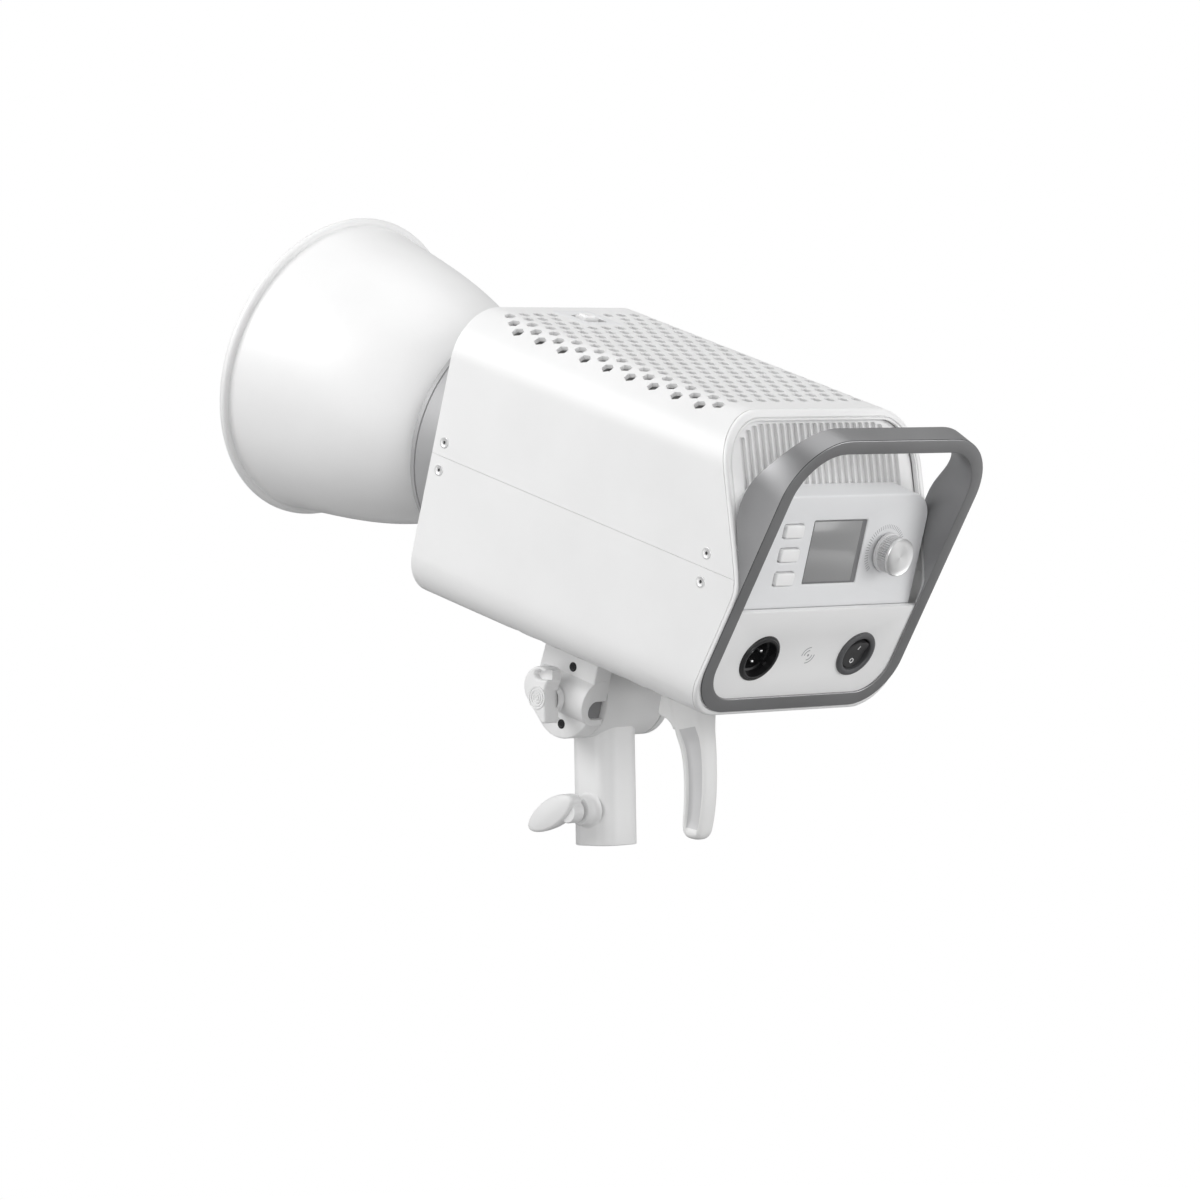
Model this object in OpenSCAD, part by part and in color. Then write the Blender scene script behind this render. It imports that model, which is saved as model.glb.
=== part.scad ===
// Studio monolight with a bayonet reflector, rear controls and a stand bracket.
// Millimetres, +Z up, the lamp shines towards -Y, origin at the mouth of the stand socket.

/* [Head] */
// Upward tilt of the head in the drawn position, degrees
rest_tilt = 17.4; // [0:0.1:30]
// Height of the optical axis over the tilt hinge
axis_h = 118; // [112:1:124]
// Width of the body across its flat sides
body_w = 159; // [156:1:162]
// Height of the body from its underside to its top
body_h = 167; // [164:1:170]
// Underside of the body over the tilt hinge
body_floor = 34; // [33:0.5:36]
// Distance of the body's front face ahead of the tilt hinge
body_front = 94; // [90:1:98]
// Corner radius of the body's top edges
top_r = 30; // [26:1:32]
// Corner radius of the body's bottom edges
bottom_r = 24; // [20:1:28]
// Wall thickness of the two housing shells
shell_t = 2.6; // [2:0.1:3]

/* [Rear] */
// Lean of the loop handle and connector panel, degrees from vertical
handle_lean = 14.65; // [13:0.05:16]
// Width of the loop handle's bar
handle_bar = 8.5; // [7:0.5:10]
// Slope of the rear grille, degrees from vertical
grille_slope = 24; // [22:0.5:26]
// Height of the split between the control panel and the connector panel
split_h = 98; // [96:0.5:100]
// Distance of the control panel's face behind the tilt hinge
panel_y = 145; // [143:0.5:147]

/* [Reflector] */
// Outer diameter of the reflector's rim
rim_d = 180; // [170:1:190]
// Distance of the rim ahead of the tilt hinge
rim_y = 262; // [255:1:268]
// Sheet thickness of the reflector
sheet_t = 1.6; // [1.2:0.1:2]
// Radius of the reflector's neck
neck_r = 48; // [46:0.5:49]

/* [Stand bracket] */
// Height of the tilt hinge over the socket's mouth
pivot_h = 84; // [80:1:90]
// Radius of the receiver around the stand socket
receiver_r = 17.6; // [16:0.1:19]
// Radius of the socket bore for a 16 mm stand spigot
socket_r = 8.1; // [8.05:0.05:8.3]
// Depth of the socket bore
socket_depth = 45; // [40:1:50]
// Radius of the tilt drum
drum_r = 22.9; // [21:0.1:24]
// Radius of the umbrella shaft hole
umbrella_r = 4.3; // [4.1:0.1:4.5]

/* [Hidden] */
$fn = 72;

half_w = body_w / 2;
body_top = body_floor + body_h;
seam_z = axis_h - 1.5;
cut = 0.02;
run_gap = 0.05;
join_gap = 0.3;

// Rear outline seen from the side
lean_rate = tan(handle_lean);
slope_rate = tan(grille_slope);
plane_y0 = 155.6 - lean_rate * 118.3;
function handle_y(z) = plane_y0 + lean_rate * z;
handle_lip = 1.2;
bezel_depth = 3;
tip_z = 112;
tip_y = handle_y(tip_z) - handle_lip;
function slant_y(z) = tip_y - slope_rate * (z - tip_z);
ring_w = 5.5;

// Bayonet mount
ring_r = 70;
ring_front = -120.5;
ring_bore = 53;
plate_y = -114;
plate_t = 2.5;
lug_t = 2.2;
lug_r = 52;
lug_arc = 28;
gate_arc = 34;
gate_turn = 35;
lug_angles = [30, 150, 270];

// Controls
button_x = 37.5;
button_z = [142.3, 128.8, 115.3];
button_size = [14.5, 7.2];
button_r = 1.2;
screen_size = [42.8, 35.8];
screen_c = [0, 129.8];
dial_x = -40.5;
dial_z = 129.3;
dial_r = 10.8;
socket_x = 39;
feature_s = 54.2;

// Bracket
drum_left = 20;
drum_right = -26;
cheek_gap = 0.4;
cheek_face = 33;
bolt_r = 3;
umbrella_x = 25.4;
umbrella_z = -0.7;
umbrella_floor = 5;
cheek_rear = 21.5;
wing_z = 20;
lever_x = 42;

// Places its children in the tilted frame of the head, origin on the tilt hinge
module in_head() {
    translate([0, 0, pivot_h]) rotate([-rest_tilt, 0, 0]) children();
}

// Extrudes a front-view outline along Y
module along_y(y0, y1) {
    translate([0, y1, 0]) rotate([90, 0, 0]) linear_extrude(y1 - y0) children();
}

// Extrudes a side-view outline along X
module along_x(x0, x1) {
    translate([x0, 0, 0]) rotate([90, 0, 90]) linear_extrude(x1 - x0) children();
}

module tube_y(r, y0, y1) {
    along_y(y0, y1) circle(r);
}

module tube_x(r, x0, x1) {
    along_x(x0, x1) circle(r);
}

// Rounded rectangle between two corners
module rounded_box_2d(lo, hi, r) {
    translate([lo[0] + r, lo[1]]) square([hi[0] - lo[0] - 2 * r, hi[1] - lo[1]]);
    translate([lo[0], lo[1] + r]) square([hi[0] - lo[0], hi[1] - lo[1] - 2 * r]);
    for (x = [lo[0] + r, hi[0] - r], z = [lo[1] + r, hi[1] - r])
        translate([x, z]) circle(r);
}

// Cross-section of the body, drawn in by inset
module body_outline(inset) {
    w = half_w - inset;
    lo = body_floor + inset;
    hi = body_top - inset;
    rt = top_r - inset;
    rb = bottom_r - inset;
    translate([-w, lo + rb]) square([2 * w, hi - lo - rb - rt]);
    translate([-w + rt, hi - rt - 1]) square([2 * (w - rt), rt + 1]);
    translate([-w + rb, lo]) square([2 * (w - rb), rb + 1]);
    for (s = [-1, 1]) {
        translate([s * (w - rt), hi - rt]) circle(rt);
        translate([s * (w - rb), lo + rb]) circle(rb);
    }
}

// Side-view area ahead of the rear outline, moved forward by back
module ahead_of_rear(back) {
    polygon([[-150, -20], [handle_y(-20) - handle_lip - back, -20],
        [tip_y - back, tip_z], [slant_y(260) - back, 260], [-150, 260]]);
}

// ---------------------------------------------------------------- Reflector

// Outer radius of the bell at a distance behind the rim
function bell_r(d) = 86.9 - 0.165 * d + 0.00101 * d * d - 0.0000145 * d * d * d;
bell_len = 128;
bell_steps = 16;

module reflector_bowl() {
    outer = [for (i = [0:bell_steps]) let (d = 3 + (bell_len - 3) * i / bell_steps) [bell_r(d), d]];
    inner = [for (p = outer) [p[0] - sheet_t, p[1]]];
    flipped = [for (i = [len(inner) - 1:-1:0]) inner[i]];
    color("whitesmoke") in_head() translate([0, -rim_y, axis_h]) rotate([-90, 0, 0]) {
        rotate_extrude() polygon(concat(outer, flipped));
        rotate_extrude() translate([rim_d / 2 - 2.9, 2.9]) circle(2.9, $fn = 32);
        translate([0, 0, bell_len - sheet_t]) difference() {
            cylinder(h = sheet_t, r = bell_r(bell_len));
            translate([0, 0, -1]) cylinder(h = sheet_t + 2, r = neck_r - 3);
        }
    }
}

module reflector_collar() {
    y0 = -rim_y + bell_len;
    lug_y = plate_y + plate_t + join_gap;
    color("silver") in_head() translate([0, 0, axis_h]) difference() {
        union() {
            tube_y(neck_r, y0, lug_y + lug_t);
            for (a = lug_angles)
                intersection() {
                    tube_y(lug_r, lug_y, lug_y + lug_t);
                    along_y(lug_y, lug_y + lug_t) sector(a, lug_arc);
                }
        }
        tube_y(neck_r - 3, y0 - 1, lug_y + lug_t + 1);
    }
}

// Wedge of a circle, centred on an angle
module sector(a, arc) {
    reach = 80;
    polygon([[0, 0], [reach * cos(a - arc / 2), reach * sin(a - arc / 2)],
        [reach * cos(a), reach * sin(a)], [reach * cos(a + arc / 2), reach * sin(a + arc / 2)]]);
}

// ------------------------------------------------------------- Body shells

hex_pitch = 10.8;
hex_r = 3.7;
hex_rows = 8;
hex_cols = 10;
hex_front = -82;
recess = [[-16, -86], [16, -56]];

// Hexagonal vents along the flat of the roof
module roof_vents() {
    col_step = hex_pitch * sqrt(3);
    for (row = [-hex_rows:hex_rows], col = [0:hex_cols - 1]) {
        x = row * hex_pitch / 2;
        y = hex_front + col * col_step + (row % 2 == 0 ? 0 : col_step / 2);
        in_recess = abs(x) < recess[1][0] + 5 && y < recess[1][1] + 5;
        if (!in_recess && y < slant_y(body_top) - 12)
            translate([x, y, body_top - 8]) cylinder(h = 12, r = hex_r, $fn = 6);
    }
}

// Thin tray that hangs under the roof and closes the view through the vents
module vent_liner() {
    roof = body_top - shell_t;
    color("gray") in_head() difference() {
        union() {
            translate([-47, -88, roof - 5]) cube([94, 192, 1]);
            for (x = [-47, 46]) translate([x, -88, roof - 4 - cut]) cube([1, 192, 4 + cut]);
        }
        translate([-15, -89, roof - 6]) cube([30, 38, 8]);
    }
}

module shell(part_lo, part_hi) {
    intersection() {
        difference() {
            along_y(-body_front, 170) body_outline(0);
            along_y(-body_front - 1, 171) body_outline(shell_t);
        }
        along_x(-90, 90) intersection() {
            ahead_of_rear(bezel_depth);
            translate([-200, part_lo]) square([400, part_hi - part_lo]);
        }
    }
}

module upper_housing() {
    color("white") in_head() difference() {
        shell(seam_z + 0.1, 230);
        roof_vents();
        translate([recess[0][0] + 8, -77, body_top - 8]) cube([16, 15, 12]);
        side_screw_holes(8);
    }
}

module lower_housing() {
    color("white") in_head() difference() {
        shell(0, seam_z - 0.1);
        for (s = [-1, 1], i = [0:7])
            translate([s * 64 - 4, -20 + 18 * i, body_floor - 3]) cube([8, 9, 14]);
        for (p = base_screw_spots) translate([p[0], p[1], body_floor - 1]) cylinder(h = 8, r = 2.1);
        side_screw_holes(-8);
    }
}

side_screw_y = [-84.5, 124];

module side_screw_holes(dz) {
    for (y = side_screw_y)
        translate([0, y, seam_z + dz]) tube_x(1.6, -100, 100);
}

module side_screws() {
    color("gainsboro") in_head() for (s = [-1, 1], y = side_screw_y, dz = [-8, 8])
        translate([0, y, seam_z + dz]) mirror([s < 0 ? 1 : 0, 0, 0]) difference() {
            union() {
                tube_x(1.5, half_w - 9, half_w);
                tube_x(3.4, half_w, half_w + 0.5);
            }
            tube_x(1.1, half_w - 1.2, half_w + 1);
        }
}

front_t = 4;

module front_plate() {
    color("white") in_head() difference() {
        along_y(-body_front, -body_front + front_t) body_outline(shell_t + 0.1);
        translate([0, -body_front, axis_h]) tube_y(40, -5, 10);
        translate([0, 0, axis_h]) ring_screw_places(1.6, -100, -80);
        lock_pin_hole(-100, -80);
    }
}

// ----------------------------------------------------------- Bayonet mount

module ring_screw_places(r, y0, y1) {
    for (a = [30, 150, 270]) translate([62 * cos(a), 0, 62 * sin(a)]) tube_y(r, y0, y1);
}

module mount_ring() {
    depth = -body_front - ring_front;
    color("dimgray") in_head() difference() {
        translate([0, ring_front, axis_h]) rotate([-90, 0, 0]) rotate_extrude()
            polygon([[40, depth], [40, depth - 3], [ring_bore, depth - 3], [ring_bore, 0],
                [ring_r - 2, 0], [ring_r, 2], [ring_r, 5], [ring_r - 0.8, 5.6],
                [ring_r, 6.2], [ring_r, depth]]);
        translate([0, 0, axis_h]) ring_screw_places(1.6, -106, -90);
        lock_pin_hole(ring_front + 6, -90);
    }
}

module bayonet_plate() {
    color("silver") in_head() translate([0, 0, axis_h]) difference() {
        tube_y(ring_bore, plate_y, plate_y + plate_t);
        tube_y(neck_r + 0.4, plate_y - 1, plate_y + plate_t + 1);
        for (a = lug_angles) along_y(plate_y - 1, plate_y + plate_t + 1) intersection() {
            sector(a + gate_turn, gate_arc);
            circle(lug_r + 0.4);
        }
    }
}

module ring_screws() {
    color("silver") in_head() translate([0, 0, axis_h]) ring_screw_places(1.5, -103, -84);
}

pin_r = 1.8;
pin_z = 50.6;

module lock_pin_hole(y0, y1) {
    translate([0, 0, axis_h + pin_z]) tube_y(pin_r + run_gap, y0, y1);
}

module lock_pin() {
    color("silver") in_head() {
        translate([0, 0, axis_h + pin_z]) tube_y(pin_r, -110.5, -70);
        translate([-3, -73, axis_h + pin_z + 1]) cube([6, 5, body_top - axis_h - pin_z - 5]);
    }
}

module release_slider() {
    color("white") in_head() {
        translate([-5.5, -75, body_top - 4]) cube([11, 8, 5]);
        translate([-4, -73.5, body_top + 1]) cube([8, 5, 1.2]);
    }
}

module release_spring() {
    color("silver") in_head() difference() {
        translate([0, 0, axis_h + pin_z]) tube_y(3.4, -63.5, -52);
        translate([0, 0, axis_h + pin_z]) tube_y(2.6, -64, -51);
    }
}

// ---------------------------------------------------------------- Rear end

module rear_bezel() {
    color("white") in_head() intersection() {
        difference() {
            along_y(60, 170) body_outline(0);
            along_y(59, 171) body_outline(ring_w);
            handle_screw_places(1.3);
        }
        along_x(-90, 90) difference() {
            ahead_of_rear(0);
            ahead_of_rear(bezel_depth);
        }
    }
}

slot_count = 24;
slot_pitch = 5.35;
slot_low = 164.2;
slot_high = 193.4;
grille_low = 150;
grille_back = 3.5;
grille_t = 3;

module rear_grille() {
    color("white") in_head() difference() {
        intersection() {
            along_y(60, 170) body_outline(ring_w + 0.1);
            along_x(-90, 90) difference() {
                intersection() {
                    ahead_of_rear(grille_back);
                    translate([0, grille_low]) square([200, 80]);
                }
                ahead_of_rear(grille_back + grille_t);
            }
        }
        for (i = [0:slot_count - 1]) {
            x = (i - (slot_count - 1) / 2) * slot_pitch;
            side = max(0, abs(x) - 44);
            lo = slot_low - x * x / 1500;
            hi = slot_high - side * side / 46;
            translate([x - 2, 60, lo]) cube([4, 100, hi - lo]);
        }
    }
}

// Thin sheet on the inner side of the grille
module grille_liner() {
    front = grille_back + grille_t + cut;
    color("gray") in_head() intersection() {
        along_y(60, 170) body_outline(ring_w + 0.1);
        along_x(-66, 66) intersection() {
            difference() {
                ahead_of_rear(front);
                ahead_of_rear(front + 1);
            }
            translate([0, slot_low - 5]) square([200, 60]);
        }
    }
}

panel_half = 70.7;
panel_corner = 15;
panel_t = 3;

// Outline of the control housing, square at the bottom and rounded at the top
module panel_outline(inset) {
    w = panel_half - inset;
    r = panel_corner - inset;
    hi = 162 - inset;
    translate([-w, split_h + inset]) square([2 * w, hi - split_h - inset - r]);
    translate([-w + r, hi - r - 1]) square([2 * (w - r), r + 1]);
    for (s = [-1, 1]) translate([s * (w - r), hi - r]) circle(r);
}

module control_panel() {
    color("gainsboro") in_head() difference() {
        union() {
            along_y(panel_y - panel_t, panel_y) panel_outline(0);
            difference() {
                along_y(118, panel_y) panel_outline(0);
                along_y(117, panel_y + 1) panel_outline(2);
                along_x(-90, 90) ahead_of_rear(grille_back);
            }
        }
        for (z = button_z) along_y(panel_y - 10, panel_y + 5)
            rounded_box_2d([button_x - button_size[0] / 2 - 0.4, z - button_size[1] / 2 - 0.4],
                [button_x + button_size[0] / 2 + 0.4, z + button_size[1] / 2 + 0.4], 1.6);
        translate([-screen_size[0] / 2, panel_y - 10, screen_c[1] - screen_size[1] / 2])
            cube([screen_size[0], 20, screen_size[1]]);
        translate([dial_x, 0, dial_z]) tube_y(4, panel_y - 10, panel_y + 5);
    }
}

module screen_glass() {
    color("slategray") in_head()
        translate([-screen_size[0] / 2 + 0.1, panel_y - 1.8, screen_c[1] - screen_size[1] / 2 + 0.1])
            cube([screen_size[0] - 0.2, 1.4, screen_size[1] - 0.2]);
}

module screen_module() {
    color("black") in_head()
        translate([-25, panel_y - 7.5, screen_c[1] - 21]) cube([50, 4.3, 42]);
}

module control_board() {
    color("darkgreen") in_head() difference() {
        translate([-60, panel_y - 15, 104]) cube([120, 1.6, 43]);
        translate([dial_x, 0, dial_z]) tube_y(4, panel_y - 20, panel_y);
    }
}

module button(z) {
    color("white") in_head() {
        along_y(panel_y - 5, panel_y + 1.6)
            rounded_box_2d([button_x - button_size[0] / 2, z - button_size[1] / 2],
                [button_x + button_size[0] / 2, z + button_size[1] / 2], button_r);
        translate([button_x, 0, z]) tube_y(2, panel_y - 11, panel_y - 5);
    }
}

module upper_button() { button(button_z[0]); }
module middle_button() { button(button_z[1]); }
module lower_button() { button(button_z[2]); }

module dial_encoder() {
    color("silver") in_head() translate([dial_x, 0, dial_z]) difference() {
        along_y(panel_y - 13.3, panel_y - 5.5) translate([-6.5, -6]) square([13, 12]);
        tube_y(3 + run_gap, panel_y - 12, panel_y - 5);
    }
}

module dial_shaft() {
    color("silver") in_head() translate([dial_x, 0, dial_z]) tube_y(3, panel_y - 10, panel_y + 8);
}

dial_gap = 1.6;
dial_h = 12;

module dial_knob() {
    color("white") in_head() translate([dial_x, 0, dial_z]) difference() {
        union() {
            tube_y(dial_r, panel_y + dial_gap, panel_y + dial_h - 1);
            for (i = [0:35]) rotate([0, i * 10, 0])
                translate([dial_r - 0.2, panel_y + dial_gap + 1, -0.4])
                    cube([0.6, dial_h - dial_gap - 3, 0.8]);
        }
        tube_y(3 + run_gap, panel_y, panel_y + 8.2);
    }
}

module dial_cap() {
    color("silver") in_head() translate([dial_x, panel_y + dial_h - 1, dial_z])
        rotate([-90, 0, 0]) rotate_extrude() polygon([[0, 0], [10.5, 0], [10.5, 0.5], [9.9, 1.1], [0, 0.8]]);
}

// Frame of the leaning connector panel: origin at its foot line, third axis out of the face
module in_plane() {
    translate([0, plane_y0, 0]) rotate([-handle_lean, 0, 0]) children();
}

// Height along the leaning plane for a height in the head frame
function plane_s(z) = z / cos(handle_lean);
inlet_z = 68.9;
connector_lo = body_floor + ring_w + 0.7;
connector_half = 73.6;
connector_t = 3;
connector_back = 1.3;

module connector_panel() {
    color("white") in_head() in_plane() difference() {
        along_y(-connector_back - connector_t, -connector_back) difference() {
            union() {
                rounded_box_2d([-connector_half, plane_s(connector_lo)], [connector_half, 92], 19);
                translate([-connector_half, 65]) square([2 * connector_half, plane_s(split_h) - 65.2]);
            }
        }
        for (x = [-socket_x, socket_x]) translate([x, 0, plane_s(inlet_z)])
            tube_y(13, -connector_back - 10, 5);
    }
}

module inlet_shell() {
    color("black") in_head() in_plane() translate([socket_x, 0, plane_s(inlet_z)]) difference() {
        union() {
            tube_y(14.3, -connector_back, -connector_back + 1.6);
            tube_y(12.8, -22, -connector_back);
        }
        tube_y(9.3, -17, 5);
        tube_y(11, -6, 5);
    }
}

module inlet_insert() {
    color("black") in_head() in_plane() translate([socket_x, 0, plane_s(inlet_z)]) difference() {
        tube_y(9.25, -16.9, -13);
        for (a = [30, 150, 270]) translate([4.4 * cos(a), 0, 4.4 * sin(a)]) tube_y(1.2, -18, -12);
    }
}

module inlet_pins() {
    color("silver") in_head() in_plane() translate([socket_x, 0, plane_s(inlet_z)])
        for (a = [30, 150, 270]) translate([4.4 * cos(a), 0, 4.4 * sin(a)]) tube_y(1.2, -16.9, -4.5);
}

module switch_bezel() {
    color("dimgray") in_head() in_plane() translate([-socket_x, 0, plane_s(inlet_z)]) difference() {
        union() {
            tube_y(13.8, -connector_back, -connector_back + 1.8);
            tube_y(12.8, -20, -connector_back);
        }
        tube_y(10, -16, 5);
    }
}

rocker_tip = -9;

module power_rocker() {
    color("black") in_head() in_plane() translate([-socket_x, -3.4, plane_s(inlet_z)])
        rotate([rocker_tip, 0, 0]) intersection() {
            tube_x(9.2, -8, 8);
            along_x(-8, 8) polygon([[-8, -6], [-2, -9.2], [3.2, -9.2], [1.8, 0], [3.2, 9.2],
                [-2, 9.2], [-8, 6]]);
            tube_y(9.3, -12, 8);
        }
}

// Side view of the loop handle: a carrying arch above, a thin flush frame below
module handle_side() {
    polygon([[handle_y(30), 30], [handle_y(206), 206], [160, 206], [159.5, 193], [150.5, 180],
        [140.5, 164], [slant_y(150) + 0.1, 150], [tip_y + 0.1, tip_z], [handle_y(30) - handle_lip, 30]]);
}

handle_half = 79.4;
handle_foot = 37.5;
handle_top = 209.5;
handle_low_r = 29;
handle_top_r = 37;

// Outline of the loop in the leaning plane, drawn in by inset
module handle_outline(inset) {
    w = handle_half - inset;
    for (half = [[handle_foot + inset, handle_low_r - inset, 1], [handle_top - inset, handle_top_r - inset, -1]])
        hull() for (x = [-1, 1]) {
            translate([x * (w - half[1]), half[0] + half[2] * half[1]]) circle(half[1]);
            translate([x * (w - 1), 120]) circle(1);
        }
}

module handle_ring_2d() {
    difference() {
        handle_outline(0);
        handle_outline(handle_bar);
    }
}

module loop_handle() {
    color("gray") in_head() difference() {
        intersection() {
            in_plane() along_y(-60, 20) handle_ring_2d();
            along_x(-90, 90) handle_side();
        }
        handle_screw_places(1.3);
    }
}

// Screws that hold the arch, driven from inside the rear bezel
module handle_screw_places(r) {
    for (s = [-1, 1], z = [122, 132])
        translate([s * 76.7, slant_y(z), z]) tube_y(r, -bezel_depth + 0.9, 6);
}

module handle_screws() {
    color("silver") in_head() handle_screw_places(1.25);
}

// ---------------------------------------------------------------- Interior

module heat_sink() {
    fin_pitch = 6;
    half_h = 46;
    color("silver") in_head() {
        translate([-55, -82, axis_h - half_h]) cube([110, 10, 2 * half_h]);
        for (i = [-9:9]) translate([i * fin_pitch - 0.8, -72 - cut, axis_h - half_h])
            cube([1.6, 80, 2 * half_h]);
        translate([-4, -52, axis_h + half_h - cut]) cube([8, 4, 8]);
    }
}

module led_holder() {
    color("white") in_head() difference() {
        translate([0, 0, axis_h]) tube_y(30, -87.5, -82);
        translate([-15.2, -90, axis_h - 15.2]) cube([30.4, 12, 30.4]);
    }
}

module led_emitter() {
    color("khaki") in_head() {
        translate([-15, -84, axis_h - 15]) cube([30, 2, 30]);
        translate([0, 0, axis_h]) tube_y(12, -85, -84);
    }
}

fan_y = 14;
fan_t = 25;

module fan_frame() {
    color("black") in_head() translate([0, 0, axis_h]) {
        difference() {
            along_y(fan_y, fan_y + fan_t) rounded_box_2d([-46, -46], [46, 46], 5);
            tube_y(44, fan_y - 1, fan_y + fan_t + 1);
        }
        tube_y(16, fan_y + fan_t - 3, fan_y + fan_t);
        for (a = [45, 135]) along_y(fan_y + fan_t - 3, fan_y + fan_t) difference() {
            rotate(a) square([90, 6], center = true);
            circle(15);
        }
    }
}

module fan_rotor() {
    color("dimgray") in_head() translate([0, 0, axis_h]) {
        tube_y(18, fan_y + 1, fan_y + fan_t - 3.5);
        for (i = [0:6]) rotate([0, i * 360 / 7, 0]) translate([17, fan_y + 9, -10])
            rotate([35, 0, 0]) cube([25, 2, 20]);
    }
}

module driver_board() {
    color("darkgreen") in_head() {
        translate([-62, -70, body_floor + 10]) cube([124, 180, 1.6]);
        translate([-50, 40, body_floor + 11.6]) cube([34, 40, 18]);
        translate([10, 45, body_floor + 11.6]) cube([44, 30, 14]);
        translate([30, 88, body_floor + 11.6]) cube([20, 14, 12]);
    }
}

module board_posts() {
    color("gold") in_head() for (x = [-52, 52], y = [-62, 102])
        translate([x, y, body_floor + shell_t]) cylinder(h = 10 - shell_t, r = 2.5);
}

// ----------------------------------------------------------- Stand bracket

base_screw_spots = [[-14, -16], [14, -16], [-14, 50], [14, 50]];
base_t = 6;

module cheek_2d() {
    circle(drum_r);
    translate([-21, 0]) square([42, body_floor]);
}

module tilt_bracket() {
    color("white") in_head() difference() {
        union() {
            along_x(drum_left + cheek_gap, cheek_face) cheek_2d();
            along_x(drum_right - 5, drum_right - cheek_gap) cheek_2d();
            intersection() {
                along_y(-19, cheek_rear) translate([drum_left + 6, 3]) circle(13.5);
                translate([cheek_face - cut, -30, -30]) cube([12, 60, 60]);
            }
            translate([drum_right - 5, -24, body_floor - base_t]) cube([64, 48, base_t]);
            translate([-18, 20, body_floor - base_t]) cube([36, 58, base_t]);
        }
        tube_x(bolt_r + 0.1, -60, 60);
        translate([umbrella_x, 0, umbrella_z]) tube_y(umbrella_r, umbrella_floor, 40);
        translate([drum_left, cheek_rear, -16]) cube([30, 10, 32]);
        for (p = base_screw_spots) translate([p[0], p[1], body_floor - base_t - 1])
            cylinder(h = 8, r = 2.1);
        for (z = cover_screw_z) translate([0, 3, z]) tube_x(2.6, cheek_face - 1.6, cheek_face + 3);
    }
}

cover_screw_z = [19.2, -14.4];

module cover_screws() {
    color("black") in_head() for (z = cover_screw_z) translate([0, 3, z]) difference() {
        tube_x(2.5, cheek_face - 1.6, cheek_face + 0.2);
        along_x(cheek_face - 1, cheek_face + 1) circle(1.4, $fn = 6);
    }
}

module base_screws() {
    color("silver") in_head() for (p = base_screw_spots) translate([p[0], p[1], 0]) {
        translate([0, 0, body_floor - base_t - 1.6]) cylinder(h = 1.6, r = 3.6);
        translate([0, 0, body_floor - base_t]) cylinder(h = base_t + shell_t + 1, r = 2);
    }
}

// Stations down the grip: y, z, half depth, half width, lean in degrees
grip_stations = [[65, 29, 14.5, 9, 10], [68.5, 14, 12.6, 8, 15], [72.5, 4, 10.6, 7.4, 23],
    [77.5, -4.5, 9.1, 7.2, 23], [80.6, -12, 8.8, 7, 19], [83.2, -20, 8.6, 7, 16],
    [86.7, -34, 8, 7, 12], [88.8, -46, 7.9, 7, 9], [89.7, -52, 7, 6.4, 8], [90.1, -54.4, 4.6, 4.6, 8]];
grip_corner = 3.4;

module grip_slice(g) {
    translate([0, g[0], g[1]]) rotate([g[4], 0, 0]) linear_extrude(1) hull()
        for (x = [-1, 1], y = [-1, 1])
            translate([x * (g[3] - grip_corner), y * (g[2] - grip_corner)]) circle(grip_corner, $fn = 32);
}

module grip_handle() {
    groove_r = 7.8;
    color("white") in_head() intersection() {
        difference() {
            union() {
                for (i = [0:len(grip_stations) - 2]) hull() {
                    grip_slice(grip_stations[i]);
                    grip_slice(grip_stations[i + 1]);
                }
                along_x(-8, 8) polygon([[49, 40], [49, 7], [51, 5], [57, 4.6], [62, 1.8], [67, -4], [74, -4],
                    [72, 40]]);
            }
            for (s = [-1, 1], i = [3:6]) hull() for (k = [i, i + 1])
                translate([s * (7 + groove_r - 1.7), grip_stations[k][0], grip_stations[k][1]])
                    sphere(groove_r, $fn = 32);
        }
        translate([-50, 0, -100]) cube([100, 150, 100 + body_floor - base_t - cut]);
    }
}

module lever_2d() {
    intersection() {
        translate([1.4, 7]) circle(11.5);
        translate([-20, -20]) square([28.8, 60]);
    }
    polygon([[-9, 2], [-4.5, -4], [1, -11.5], [3.4, -13.4], [5.2, -13.2], [5.8, -12], [5.8, 8]]);
}

module tilt_lever() {
    color("white") translate([0, 0, pivot_h]) {
        difference() {
            union() {
                along_x(lever_x + 2, lever_x + 12) lever_2d();
                tube_x(8, lever_x - 2, lever_x + 2.5);
            }
            tube_x(bolt_r + cut, 0, lever_x + 5.8);
            translate([lever_x + 6, -1, 10.7]) cube([8, 12, 6]);
        }
        for (r = [2.5, 5]) along_x(lever_x + 12 - cut, lever_x + 12.5) difference() {
            circle(r);
            circle(r - 0.9);
        }
    }
}

module tilt_bolt() {
    color("silver") translate([0, 0, pivot_h]) {
        tube_x(bolt_r, drum_right - 5.4, lever_x + 5.8);
        along_x(drum_right - 9.4, drum_right - 5.4) circle(6, $fn = 6);
    }
}

column_half = 15;
column_r = 9.8;

module stand_yoke() {
    color("white") difference() {
        union() {
            linear_extrude(pivot_h - 8) hull() for (x = [-1, 1], y = [-1, 1])
                translate([x * (column_half - column_r), y * (column_half - column_r)]) circle(column_r);
            translate([0, 0, pivot_h]) tube_x(drum_r, drum_right, drum_left);
            translate([0, 0, wing_z]) tube_x(8, 0, receiver_r + 4);
        }
        translate([0, 0, -1]) cylinder(h = socket_depth + 1, r = socket_r);
        translate([0, 0, pivot_h]) tube_x(bolt_r + run_gap, drum_right - 1, drum_left + 1);
        translate([0, 0, wing_z]) tube_x(pad_r + run_gap, 0, receiver_r + 10);
        translate([0, 0, pivot_h]) {
            tube_x(16, drum_left - 1.5, drum_left + 1);
            tube_x(16, drum_right - 1, drum_right + 1.5);
        }
    }
}

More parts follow.
